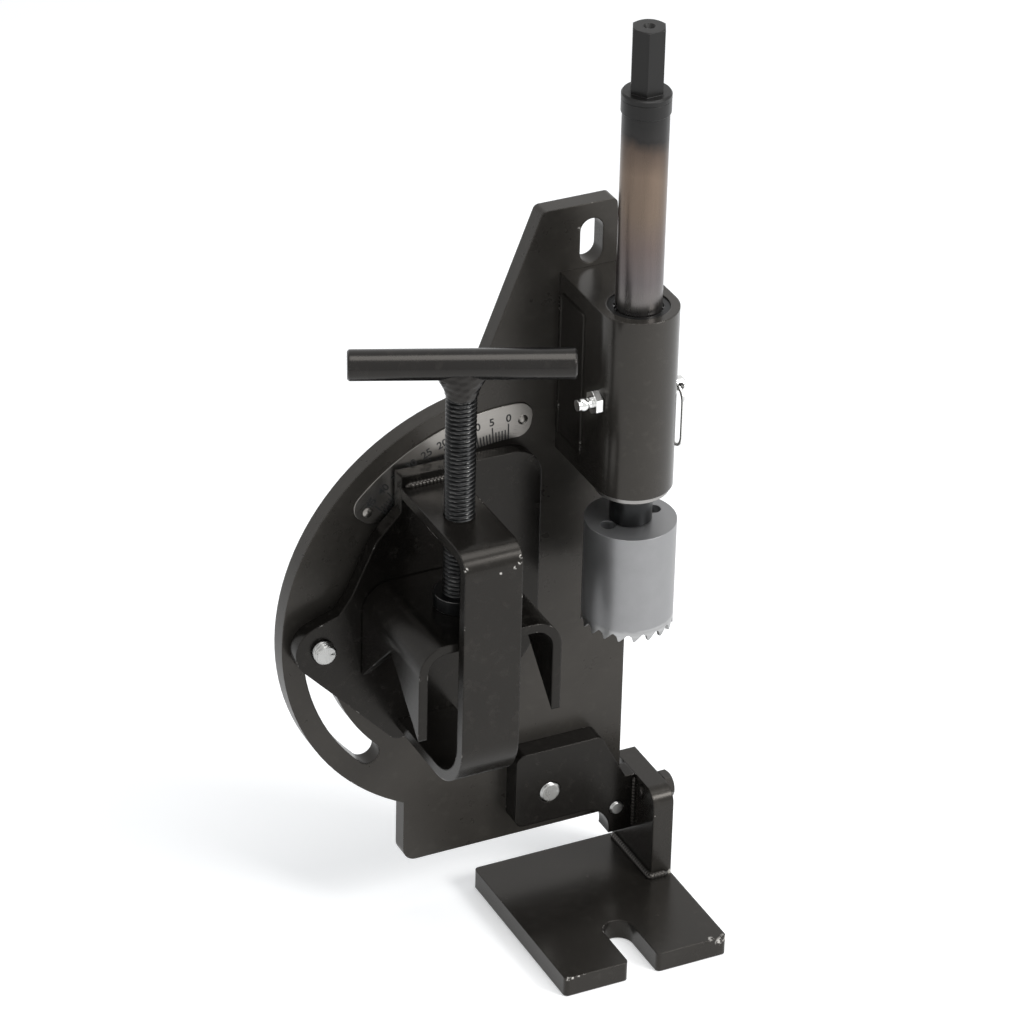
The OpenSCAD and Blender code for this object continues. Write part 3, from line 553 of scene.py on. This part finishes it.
def lathe(name: str, profile: Sequence[Pair]) -> Piece:
    """Turns a closed profile of (radius, height) points about the Z axis into a ring.

    Point (i, j) lies at profile point i turned by j steps; faces join neighbours both ways round.
    The profile runs clockwise seen with the radius to the right.
    """
    columns, rows = 72, len(profile)
    outline = np.array(profile)
    points = revolved(outline[:, 0], outline[:, 1], circle(columns)).reshape(-1, 3)
    i, j = np.meshgrid(np.arange(rows), np.arange(columns), indexing="ij")
    below, beside = (i + 1) % rows, (j + 1) % columns
    quads = np.stack([i * columns + j, below * columns + j, below * columns + beside,
                      i * columns + beside], axis=-1)
    return made_piece(name, points, quads.reshape(-1, 4).tolist(), 30.0)


def chamfered_ring(name: str, radii: Pair, heights: Pair, chamfer: float) -> Piece:
    """A ring about the spindle's axis, from bore to outer radius, with chamfered outer rims."""
    (bore, outer), (low, high) = radii, heights
    return lathe(name, [(bore, low), (bore, high), (outer - chamfer, high),
                        (outer, high - chamfer), (outer, low + chamfer), (outer - chamfer, low)])


def joined(name: str, parts: Sequence[Piece]) -> Piece:
    """Puts the meshes of several pieces, all at the origin, into one and removes the pieces."""
    points, faces, offset = [], [], 0
    for mesh in [part.data for part in parts]:
        flat = np.empty(len(mesh.vertices) * 3)
        mesh.vertices.foreach_get("co", flat)
        corners = np.empty(len(mesh.loops), dtype=np.int32)
        mesh.loops.foreach_get("vertex_index", corners)
        sizes = np.empty(len(mesh.polygons), dtype=np.int32)
        mesh.polygons.foreach_get("loop_total", sizes)
        points.append(flat.reshape(-1, 3))
        faces += [f.tolist() for f in np.split(corners + offset, np.cumsum(sizes)[:-1])]
        offset += len(mesh.vertices)
        bpy.data.meshes.remove(mesh)
    return made_piece(name, np.concatenate(points), faces, 38.0)


def along(start: Vector, direction: Vector) -> Matrix:
    """The turn and shift that takes the Z axis to a direction from a start point."""
    turn = Vector((0.0, 0.0, 1.0)).rotation_difference(direction.normalized())
    return Matrix.Translation(start) @ turn.to_matrix().to_4x4()


@dataclass(frozen=True)
class Thread:
    """A right-handed external thread between two heights."""

    major: float
    pitch: float
    low: float
    high: float
    columns: int = 32
    steps: int = 8

    def rings(self) -> Grid:
        """Rings of the threaded surface, of shape (rings, columns, 3), chamfered at the low end.

        The radius is the major radius less the depth times a clipped triangle wave of
        (height / pitch - angle / turn), and stays under a 45 degree cone from the low end.
        """
        depth, outer = 0.6 * self.pitch, self.major / 2.0
        count = max(6, int(round((self.high - self.low) / self.pitch * self.steps)))
        angle = circle(self.columns)
        height = np.linspace(self.low, self.high, count + 1)
        phase = (height[:, None] / self.pitch - angle / TURN) % 1.0
        groove = np.clip(np.abs(phase - 0.5) * 2.4 - 0.2, 0.0, 1.0)
        cone = outer - depth + 0.1 * depth + (height - self.low)[:, None]
        return revolved(np.minimum(outer - depth * groove, cone), height, angle)


def revolved(radius: Grid, height: Grid, angle: Grid) -> Grid:
    """Points at (radius cos angle, radius sin angle, height) for every height and angle.

    The radius has a value for each height, or for each height and angle.
    """
    if radius.ndim == 1:
        radius = radius[:, None]
    return np.stack([radius * np.cos(angle), radius * np.sin(angle),
                     np.repeat(height[:, None], len(angle), axis=1)], axis=-1)


class BoltSize(Enum):
    """Sizes of hexagon bolts: diameter, width over flats, head height and pitch."""

    LARGE = (9.5 * MM, 14.3 * MM, 6.2 * MM, 1.5875 * MM)
    SMALL = (6.35 * MM, 11.1 * MM, 4.4 * MM, 1.27 * MM)


@dataclass(frozen=True)
class HexBolt:
    """A hexagon bolt along an axis, seat to end, with its head's corners turned off by a cone."""

    seat: Vector
    direction: Vector
    size: BoltSize
    length: float
    threaded: float
    cone: float = math.tan(math.radians(30.0))

    def build(self, name: str) -> Piece:
        """Makes the bolt as one closed surface.

        The head's radius at an angle is half the flats over the cosine of the angle from the
        middle of its flat, kept under a 30 degree cone near the top. Below the seat the shank
        runs plain and then threaded.

        Args:
            name: Name of the piece.

        Returns:
            The bolt.
        """
        diameter, flats, head, pitch = self.size.value
        columns = 48
        angle = circle(columns)
        sixth = (angle + np.pi / 6.0) % (np.pi / 3.0) - np.pi / 6.0
        half = flats / 2.0
        hexagon = half / np.cos(sixth)
        face = half * 0.94
        drop = (half / np.cos(np.pi / 6.0) - face) * self.cone
        heights = head - np.array([0.0, 0.25, 0.5, 0.75, 1.0]) * drop
        crown = np.minimum(hexagon, face + (head - heights[:, None]) / self.cone)
        washer = np.full(columns, half * 0.95)
        shank = np.full(columns, diameter / 2.0)
        rows = np.stack([np.full(columns, face * 0.5), *crown, hexagon, hexagon, washer, washer,
                         shank, shank, shank])
        plain = self.length - self.threaded
        levels = np.array([head, *heights, head * 0.45, flats * 0.03, flats * 0.03, 0.0, 0.0,
                           -plain * 0.5, -plain])
        low = Thread(diameter, pitch, 0.0, self.threaded, columns).rings()
        low[..., 2] -= self.length
        rings = np.concatenate([low, revolved(rows, levels, angle)[::-1]])
        return closed_surface(name, rings, along(self.seat, -self.direction))


@dataclass(frozen=True)
class WeldBead:
    """A fillet weld along a path: a rippled round bead that sinks into the corner."""

    path: Sequence[Triple]
    size: float
    ripple: float = 0.0016

    def build(self, name: str) -> Piece:
        """Makes the bead as a tube whose radius swells and falls once a ripple.

        The radius is size times (0.86 + 0.14 |sin(pi distance / ripple + 0.8 cos angle)|), drawn
        in to nothing at both ends over one size.

        Args:
            name: Name of the piece.

        Returns:
            The bead.
        """
        corners = np.array(self.path)
        legs = np.linalg.norm(np.diff(corners, axis=0), axis=1)
        reach = np.concatenate([[0.0], np.cumsum(legs)])
        count = max(12, int(reach[-1] / self.ripple * 5))
        distance = np.linspace(0.0, reach[-1], count)
        line = np.stack([np.interp(distance, reach, corners[:, n]) for n in range(3)], axis=-1)
        heading = np.gradient(line, axis=0)
        heading /= np.linalg.norm(heading, axis=1)[:, None]
        up = np.array([0.0, 0.0, 1.0])
        if abs(heading[0] @ up) > 0.9:
            up = np.array([0.0, 1.0, 0.0])
        side = np.cross(up, heading)
        side /= np.linalg.norm(side, axis=1)[:, None]
        over = np.cross(heading, side)
        angle = circle(14)
        wave = np.abs(np.sin(np.pi * distance[:, None] / self.ripple + 0.8 * np.cos(angle)))
        taper = np.sqrt(np.clip(np.minimum(distance, reach[-1] - distance) / self.size, 0.02, 1.0))
        radius = self.size * (0.86 + 0.14 * wave) * taper[:, None]
        u, v = radius * np.cos(angle), radius * np.sin(angle)
        rings = line[:, None] + u[..., None] * side[:, None] + v[..., None] * over[:, None]
        return closed_surface(name, rings, None, 60.0)


def prisms(name: str, outlines: Grid, front: float, back: float) -> Piece:
    """Thin plates between two depths, one for each four-sided outline in X and Z.

    Args:
        name: Name of the piece.
        outlines: Array of shape (count, 4, 2), anticlockwise seen from the front.
        front: Depth of the front faces.
        back: Depth of the back faces.

    Returns:
        The piece.
    """
    count = len(outlines)
    flat = outlines.reshape(-1, 2)
    near = np.stack([flat[:, 0], np.full(len(flat), front), flat[:, 1]], axis=-1)
    far = near + np.array([0.0, back - front, 0.0])
    points = np.concatenate([near.reshape(count, 4, 3), far.reshape(count, 4, 3)], axis=1)
    box = np.array([[0, 1, 2, 3], [7, 6, 5, 4], [0, 4, 5, 1], [1, 5, 6, 2], [2, 6, 7, 3],
                    [3, 7, 4, 0]])
    faces = (box[None] + 8 * np.arange(count)[:, None, None]).reshape(-1, 4)
    return made_piece(name, points.reshape(-1, 3), faces.tolist())


def middle_of(node: str) -> Vector:
    """The middle of a CAD node's box."""
    low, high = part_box(node)
    return (low + high) / 2.0


def finished(piece: Piece, material: Material, slot: Slot, body: str, *stands_for: str) -> None:
    """Gives a new piece its finish and its body, and hides the CAD nodes that it stands for."""
    piece.data.materials.clear()
    piece.data.materials.append(material)
    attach(piece, body)
    if stands_for:
        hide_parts(*stands_for)
    LOG.info("%s: %d faces on %s", piece.name, len(piece.data.polygons), body)


def dress(material: Material, *names: str) -> None:
    """Gives CAD nodes a finish."""
    for name in names:
        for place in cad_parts[name].material_slots:
            place.material = material
        LOG.info("%s: %s", name, material.name)


@dataclass
class Foot:
    """Foot plate, upright and flange with their welds and bolts."""

    bead: float = 1.9 * MM
    upright_left: float = 21.7 * MM
    upright_right: float = 31.2 * MM
    upright_front: float = 9.34 * MM
    foot_top: float = 9.0 * MM
    flange_front: float = 27.5 * MM
    seam: Pair = (25.0 * MM, 50.0 * MM)
    large_bolt: Pair = (-19.0 * MM, 53.0 * MM)
    small_bolt: Pair = (13.2 * MM, 36.0 * MM)
    side_bolt: Pair = (22.1 * MM, 45.7 * MM)
    grip: float = 18.4 * MM
    threaded: float = 11.0 * MM
    side_grip: float = 10.5 * MM
    side_threaded: float = 8.0 * MM

    def build(self, looks: Finishes) -> None:
        """Builds the welds and bolts and paints the plates.

        Args:
            looks: The finishes.
        """
        dress(looks.black, "foot_plate", "foot_upright")
        # The flange takes the darker copy of the black enamel as painted shade.
        dress(looks.arm, "foot_flange")
        lift = 0.35 * self.bead
        inner, front = self.upright_left - lift, self.upright_front - lift
        top = self.foot_top + lift
        corner = WeldBead(((inner, PLATE_BACK, top), (inner, front, top),
                           (self.upright_right - self.bead, front, top)), self.bead)
        seam = WeldBead([(inner, self.flange_front - lift, z) for z in self.seam], 0.6 * self.bead)
        for name, bead in (("foot_weld", corner), ("flange_weld", seam)):
            finished(bead.build(name), looks.weld, Slot.BLACK_PAINT, "stand")
        places = {BoltSize.LARGE: self.large_bolt, BoltSize.SMALL: self.small_bolt}
        pair = [HexBolt(Vector((x, PLATE_BACK, z)), FORWARD, size, self.grip,
                        self.threaded).build("bolt") for size, (x, z) in places.items()]
        finished(joined("foot_bolt_pair", pair), looks.zinc, Slot.BRIGHT_ZINC, "stand",
                 "foot_bolts")
        side = HexBolt(Vector((self.upright_right, *self.side_bolt)), Vector((-1.0, 0.0, 0.0)),
                       BoltSize.SMALL, self.side_grip, self.side_threaded)
        finished(side.build("upright_cap_bolt"), looks.weld, Slot.BRIGHT_ZINC, "stand",
                 "upright_bolt")


@dataclass
class AngleScale:
    """Angle scale: its strip, a tick for each degree and a number for every fifth."""

    middle: float = 84.9 * MM
    half_width: float = 7.9 * MM
    right_end: float = math.radians(82.77)
    left_end: float = math.radians(140.53)
    round_end: float = 6.6 * MM
    rim: float = 0.15 * MM
    inner: float = 77.1 * MM
    short: float = 4.5 * MM
    long: float = 7.1 * MM
    width: float = 0.6 * MM
    number_gap: float = 1.0 * MM
    number_height: float = 3.4 * MM
    boldness: float = 0.1 * MM
    degrees: int = 45
    front: float = 36.17 * MM
    face: float = 36.2 * MM

    def strip(self) -> Piece:
        """The strip itself, an arc of flat bar.

        Sections follow the arc; near an end the half width falls as the height of a quarter
        circle, so both ends are round.
        """
        low, high = self.right_end, self.left_end
        bend = self.round_end / self.middle
        ends = bend * (1.0 - np.cos(np.linspace(0.0, np.pi / 2.0, 12)))
        angle = np.concatenate([low + ends, np.linspace(low + bend, high - bend, 50)[1:-1],
                                high - ends[::-1]])
        reach = np.clip((bend - np.minimum(angle - low, high - angle)) / bend, 0.0, 1.0)
        width = self.half_width - self.round_end * (1.0 - np.sqrt(1.0 - 0.995 * reach ** 2))
        side = np.repeat([-1.0, 1.0], 3)
        inset = self.rim * np.array([0.0, 0.0, 1.0, 1.0, 0.0, 0.0])
        depth = np.array([PLATE_FRONT, self.face + self.rim, self.face])
        radius = self.middle + side * (width[:, None] - inset)
        rings = np.stack([PIVOT[0] + radius * np.cos(angle)[:, None],
                          np.tile(np.concatenate([depth, depth[::-1]]), (len(angle), 1)),
                          PIVOT[1] + radius * np.sin(angle)[:, None]], axis=-1)
        return closed_surface("scale_strip", rings, None, 30.0)

    def ticks(self) -> Grid:
        """Outlines of the ticks: each is a bar along the radius at 90 degrees plus its value."""
        value = np.arange(self.degrees + 1)
        angle = np.radians(90.0 + value)
        out = np.stack([np.cos(angle), np.sin(angle)], axis=-1)
        side = np.stack([-np.sin(angle), np.cos(angle)], axis=-1) * self.width / 2.0
        length = np.where(value % 5 == 0, self.long, self.short)[:, None]
        start = np.array(PIVOT) + out * self.inner
        end = start + out * length
        return np.stack([start + side, start - side, end - side, end + side], axis=1)

    def number(self, value: int) -> Piece:
        """A number of degrees, upright along its radius, as a thin raised mesh."""
        curve = bpy.data.curves.new("digits", "FONT")
        curve.body = str(value)
        curve.size = self.number_height / 0.7
        curve.align_x = "CENTER"
        curve.extrude = (self.face - self.front) / 2.0
        curve.offset = self.boldness
        holder = linked(bpy.data.objects.new("digits", curve))
        bpy.context.view_layer.update()
        ready = holder.evaluated_get(bpy.context.evaluated_depsgraph_get())
        mesh = bpy.data.meshes.new_from_object(ready)
        bpy.data.objects.remove(holder)
        radius = self.inner + self.long + self.number_gap
        mesh.transform(Matrix.Translation((PIVOT[0], (self.face + self.front) / 2.0, PIVOT[1]))
                       @ Matrix.Rotation(-math.radians(value), 4, "Y")
                       @ Matrix.Translation((0.0, 0.0, radius))
                       @ Matrix.Rotation(math.pi / 2.0, 4, "X"))
        return linked(bpy.data.objects.new("digits", mesh))

    def build(self, looks: Finishes) -> None:
        """Builds the strip and its marks and dresses the rivets."""
        dress(looks.scale, "scale_rivets")
        finished(self.strip(), looks.scale, Slot.SCALE_ALUMINIUM, "stand", "angle_scale")
        ticks = prisms("scale_ticks", self.ticks(), self.front, self.face)
        numbers = joined("scale_numbers", [self.number(v) for v in range(0, self.degrees + 1, 5)])
        for marks in (ticks, numbers):
            finished(marks, looks.ink, Slot.BLACK_OXIDE, "stand")


@dataclass
class Housing:
    """Spindle housing with its bearings, nipple, bolts and nameplate."""

    half_width: float = 16.7 * MM
    plate_low: Pair = (13.6 * MM, 225.0 * MM)
    plate_high: Pair = (35.0 * MM, 290.0 * MM)
    plate_thickness: float = 0.7 * MM
    corner: float = 1.6 * MM
    border: float = 1.1 * MM
    sunk: float = 0.35 * MM
    bolt_heights: Pair = (231.0 * MM, 284.0 * MM)
    grip: float = 23.9 * MM
    threaded: float = 13.0 * MM

    def nameplate(self) -> Piece:
        """A plain plate on the left side: a rounded rectangle with a sunk field.

        Each ring is a rounded rectangle: corner centres plus a radius at angles round the turn.
        """
        steps = 6
        quarter = np.linspace(0.0, np.pi / 2.0, steps)
        angle = np.concatenate([quarter + n * np.pi / 2.0 for n in range(4)])
        sign_u = np.repeat([1.0, -1.0, -1.0, 1.0], steps)
        sign_v = np.repeat([1.0, 1.0, -1.0, -1.0], steps)
        low, high = np.array(self.plate_low), np.array(self.plate_high)
        centre, half = (low + high) / 2.0, (high - low) / 2.0

        def ring(inset: float, height: float) -> Grid:
            """One rounded rectangle, drawn in by an inset at a height above the housing."""
            bend = max(self.corner - inset, 0.25 * MM)
            core = half - inset - bend
            u = sign_u * core[0] + bend * np.cos(angle)
            v = sign_v * core[1] + bend * np.sin(angle)
            left = np.full_like(u, -self.half_width - height)
            return np.stack([left, centre[0] - u, centre[1] + v], axis=-1)

        t = self.plate_thickness
        rings = np.stack([ring(0.0, -0.1 * MM), ring(0.0, t - 0.15 * MM), ring(0.15 * MM, t),
                          ring(self.border, t), ring(self.border + 0.25 * MM, t - self.sunk),
                          ring(5.0 * MM, t - self.sunk)])
        return closed_surface("bare_nameplate", rings, None, 30.0)

    def build(self, looks: Finishes) -> None:
        """Builds the nameplate and bolts and dresses the housing."""
        dress(looks.housing, "spindle_housing")
        dress(looks.oxide, "upper_bearing_cup", "lower_bearing_cup")
        dress(looks.needle, "upper_needles", "lower_needles")
        dress(looks.nickel, "grease_nipple", "lock_pin", "pull_ring")
        finished(self.nameplate(), looks.black, Slot.HOUSING_PAINT, "stand")
        bolts = [HexBolt(Vector((0.0, PLATE_BACK, z)), FORWARD, BoltSize.LARGE, self.grip,
                         self.threaded).build("bolt") for z in self.bolt_heights]
        finished(joined("housing_cap_bolts", bolts), looks.zinc, Slot.BRIGHT_ZINC, "stand",
                 "housing_bolts")


@dataclass
class SwingArm:
    """Arm plate with the strap welded on it, its bolts, spacers and washers."""

    arm_front: float = 28.0 * MM
    bolt_end: float = 24.0 * MM
    threaded: float = 15.0 * MM
    seat: float = PLATE_BACK + 1.8 * MM
    bead: float = 1.7 * MM
    inset: float = 1.5 * MM

    def build(self, looks: Finishes) -> None:
        """Builds bolts and welds and paints the strap and the swinging plate, both in darker
        copies of the black enamel as painted shade.

        Args:
            looks: The finishes.
        """
        # The swinging plate takes the darker copy of the black enamel as painted shade for the
        # shadow of the strap and the housing.
        dress(looks.arm, "arm_plate")
        # The strap takes the darker copy of the black enamel as painted shade.
        dress(looks.strap, "clamp_strap")
        dress(looks.turned, "pivot_spacer", "lock_spacer")
        dress(looks.zinc, "arm_washers")
        lock = middle_of("lock_bolt")
        for name, node, (x, z) in (("pivot_hex_bolt", "pivot_bolt", PIVOT),
                                   ("lock_hex_bolt", "lock_bolt", (lock.x, lock.z))):
            bolt = HexBolt(Vector((x, self.seat, z)), FORWARD, BoltSize.LARGE,
                           self.seat - self.bolt_end, self.threaded)
            finished(bolt.build(name), looks.zinc, Slot.BRIGHT_ZINC, "swing_arm", node)
        low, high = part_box("clamp_strap")
        lift = 0.3 * self.bead
        y = self.arm_front - lift
        for name, z in (("strap_top_weld", high.z + lift), ("strap_low_weld", low.z - lift)):
            path = (low.x + self.inset, y, z), (high.x - self.inset, y, z)
            bead = WeldBead(path, self.bead)
            finished(bead.build(name), looks.weld, Slot.BLACK_PAINT, "swing_arm")


@dataclass
class Clamp:
    """Clamp screw with its T handle, swivel and saddle."""

    pitch: float = 1.9538 * MM
    screw: float = 12.7 * MM
    tip: float = 9.0 * MM
    tip_length: float = 6.4 * MM
    flare: float = 10.6 * MM
    bar_height: float = 288.05 * MM
    bar_angle: float = -22.6
    overlap: float = 1.0 * MM

    def threaded_screw(self) -> Piece:
        """The screw: a plain tip, then thread from the swivel up to the handle."""
        low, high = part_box("clamp_screw")
        middle = middle_of("clamp_screw")
        shoulder, chamfer, columns = low.z + self.tip_length, 0.5 * MM, 32
        thread = Thread(self.screw, self.pitch, shoulder, high.z, columns, 9).rings()
        radius = self.tip / 2.0
        tip = revolved(np.array([radius - chamfer, radius, radius]),
                       np.array([low.z, low.z + chamfer, shoulder]), circle(columns))
        return closed_surface("threaded_clamp_screw", np.concatenate([tip, thread]),
                              Matrix.Translation((middle.x, middle.y, 0.0)), 50.0)

    def handle_weld(self) -> Piece:
        """The weld that joins screw and handle, a flare that spreads along the bar.

        A ring at a share of the height is an ellipse: its half width along the bar grows with a
        power of the share, and across the bar it stays close to the screw. Three sines ripple it.
        """
        low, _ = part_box("weld_collar")
        middle = middle_of("weld_collar")
        share, angle = np.linspace(0.0, 1.0, 22)[:, None], circle(56)
        neck = self.screw / 2.0 + 0.35 * MM
        wide = neck + (self.flare - neck) * np.clip(share * 1.5, 0.0, 1.0) ** 2.2
        thin = neck - 0.7 * MM * share ** 2
        ripple = 0.12 * MM * sum(np.sin(waves * angle + shift * share)
                                 for waves, shift in ((5.0, 9.0), (11.0, -23.0), (3.0, 31.0)))
        ease = np.clip(np.minimum(share, 1.0 - share) * 12.0, 0.0, 1.0)
        swell = ripple * ease - 0.5 * MM * (1.0 - ease)
        height = np.repeat(share * (self.bar_height - self.overlap - low.z), len(angle), axis=1)
        rings = np.stack([(wide + swell) * np.cos(angle), (thin + swell) * np.sin(angle), height],
                         axis=-1)
        place = (Matrix.Translation((middle.x, middle.y, low.z))
                 @ Matrix.Rotation(math.radians(self.bar_angle), 4, "Z"))
        return closed_surface("handle_weld", rings, place, 50.0)

    def build(self, looks: Finishes) -> None:
        """Builds the thread and the handle's weld and dresses the clamp."""
        # The saddle takes the darker copy of the black enamel as painted shade under the strap.
        dress(looks.arm, "saddle")
        dress(looks.oxide, "swivel_collar", "swivel_tip")
        dress(looks.gloss, "handle_bar")
        finished(self.threaded_screw(), looks.oxide, Slot.BLACK_OXIDE, "clamp_screw",
                 "clamp_screw")
        finished(self.handle_weld(), looks.gloss, Slot.GLOSS_PAINT, "clamp_screw", "weld_collar")


@dataclass
class SpindleSet:
    """Spindle with its thrust washer, arbor collar and hole saw."""

    washer: float = 2.4 * MM
    washer_bore: float = 9.7 * MM
    collar_bore: float = 8.0 * MM
    neck: float = 0.9
    step: float = 1.0 * MM
    gap: float = 0.15 * MM
    chamfer: float = 0.4 * MM
    band: Pair = (383.6 * MM, 389.82 * MM)
    band_radii: Pair = (9.4 * MM, 10.05 * MM)

    def build(self, looks: Finishes) -> None:
        """Builds the washer, the arbor collar and the spindle's band and dresses the rest.

        Args:
            looks: The finishes.
        """
        dress(looks.temper, "spindle")
        dress(looks.saw, "hole_saw")
        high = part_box("thrust_washer")[1]
        seam = high.z - self.washer
        washer = chamfered_ring("thin_thrust_washer", (self.washer_bore, high.x), (seam, high.z),
                                0.25 * MM)
        finished(washer, looks.turned, Slot.TURNED_STEEL, "spindle_feed", "thrust_washer")
        low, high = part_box("arbor_collar")
        outer, neck, lip = high.x, high.x * self.neck, high.z - self.step
        top = seam - self.gap
        steps = [(self.collar_bore, low.z), (self.collar_bore, top), (neck, top), (neck, lip),
                 (outer - self.chamfer, lip), (outer, lip - self.chamfer),
                 (outer, low.z + self.chamfer), (outer - self.chamfer, low.z)]
        finished(lathe("stepped_arbor_collar", steps), looks.oxide, Slot.BLACK_OXIDE, "spindle",
                 "arbor_collar")
        band = chamfered_ring("spindle_top_band", self.band_radii, self.band, 0.3 * MM)
        finished(band, looks.temper, Slot.TEMPERED_STEEL, "spindle")


@dataclass(frozen=True)
class Lamp:
    """A soft rectangular lamp: its place, its two sides and its power in watts."""

    place: Triple
    sides: Pair
    power: float


@dataclass
class Studio:
    """Floor, soft lamps, white surroundings and the camera of the photograph."""

    focal_pixels: float = 5042.5
    pitch: float = 0.536723
    yaw: float = 0.463199
    roll: float = 0.024599
    target: Triple = (0.0, 0.0, 0.179)
    target_pixel: Pair = (628.8, 560.0)
    depth: float = 2.066
    front_softbox: Lamp = Lamp((0.85, -1.05, 1.05), (0.6, 0.6), 17.0)
    top_softbox: Lamp = Lamp((0.1, -0.3, 1.6), (1.0, 0.9), 12.0)
    left_strip: Lamp = Lamp((-1.5, -0.45, 0.55), (0.1, 0.9), 2.2)
    aim: Triple = (-0.02, 0.0, 0.18)
    floor_half: float = 3.0
    floor_drop: float = 0.4 * MM

    def camera(self) -> None:
        """Places the camera: its axes follow yaw, pitch and roll, and the target's ray its spot.

        Forward is (sin yaw cos pitch, cos yaw cos pitch, -sin pitch); right is horizontal and
        square to it; roll turns right and up about forward. The camera stands the depth back
        along the ray that shows the target at its pixel.
        """
        sin, cos = math.sin, math.cos
        forward = np.array([sin(self.yaw) * cos(self.pitch), cos(self.yaw) * cos(self.pitch),
                            -sin(self.pitch)])
        level = np.array([cos(self.yaw), -sin(self.yaw), 0.0])
        rise = np.cross(level, forward)
        right = cos(self.roll) * level + sin(self.roll) * rise
        down = sin(self.roll) * level - cos(self.roll) * rise
        column, row = (pixel - IMAGE / 2.0 for pixel in self.target_pixel)
        ray = forward + right * column / self.focal_pixels + down * row / self.focal_pixels
        spot = np.array(self.target) - ray * self.depth
        data = bpy.data.cameras.new("photo_camera")
        data.sensor_width = SENSOR
        data.lens = self.focal_pixels / IMAGE * SENSOR
        data.clip_start, data.clip_end = 0.05, 50.0
        camera = linked(bpy.data.objects.new("photo_camera", data))
        turn = Matrix((tuple(right), tuple(-down), tuple(-forward))).transposed()
        camera.matrix_world = Matrix.Translation(Vector(spot)) @ turn.to_4x4()
        bpy.context.scene.camera = camera

    def lights(self) -> None:
        """Places the soft area lamps, each turned towards the middle."""
        for name in ("front_softbox", "top_softbox", "left_strip"):
            lamp = getattr(self, name)
            data = bpy.data.lights.new(name, "AREA")
            data.shape = "RECTANGLE"
            data.size, data.size_y = lamp.sides
            data.energy = lamp.power
            holder = linked(bpy.data.objects.new(name, data))
            ray = Vector(self.aim) - Vector(lamp.place)
            holder.rotation_euler = ray.to_track_quat("-Z", "Y").to_euler()
            holder.location = lamp.place

    def surroundings(self) -> None:
        """A world that is white to the camera and in reflections, and a soft grey to the rest."""
        world = bpy.data.worlds.new("studio_world")
        bpy.context.scene.world = world
        tree = Tree(world)
        rays = tree.node("ShaderNodeLightPath").outputs
        seen = Value(tree, rays["Is Camera Ray"]).larger(Value(tree, rays["Is Glossy Ray"]))
        seen = seen.larger(Value(tree, rays["Is Transmission Ray"]))
        soft, white = (tree.value("ShaderNodeBackground", {}, {"Color": colour, "Strength": power})
                       for colour, power in (((0.92, 0.96, 1.0), 0.42), ((1.0, 1.0, 1.0), 1.0)))
        mix = tree.value("ShaderNodeMixShader", {}, {0: seen, 1: soft, 2: white})
        tree.node("ShaderNodeOutputWorld", {}, {"Surface": mix})

    def floor(self) -> None:
        """A pale floor that shows as white away from the object and keeps its shadow."""
        corners = np.array([(-1, -1, 0), (1, -1, 0), (1, 1, 0), (-1, 1, 0)]) * self.floor_half
        plane = made_piece("studio_floor", corners - (0.0, 0.0, self.floor_drop), [(0, 1, 2, 3)])
        s = Shader("floor_paint")
        cloud = s.noise(6.0, 2.0)
        s.done(Base_Color=s.tint((0.86, 0.86, 0.86), 0.98 + cloud * 0.02), Roughness=0.75,
               Emission_Color=(1.0, 1.0, 1.0), Emission_Strength=0.36)
        plane.data.materials.append(s.material)

    def build(self) -> None:
        """Sets up the whole studio."""
        bpy.context.scene.view_settings.view_transform = "Standard"
        self.camera()
        self.lights()
        self.surroundings()
        self.floor()
        LOG.info("studio ready")


def main() -> None:
    """Builds the studio and every sub-assembly."""
    logging.basicConfig(level=logging.INFO, format="%(name)s %(message)s")
    Studio().build()
    looks = Finishes()
    # The main plate takes the lighter copy of the black enamel, which paints in the light on its
    # face.
    dress(looks.plate, "main_plate")
    for assembly in (Foot(), AngleScale(), Housing(), SwingArm(), Clamp(), SpindleSet()):
        assembly.build(looks)


if __name__ == "__main__":
    main()
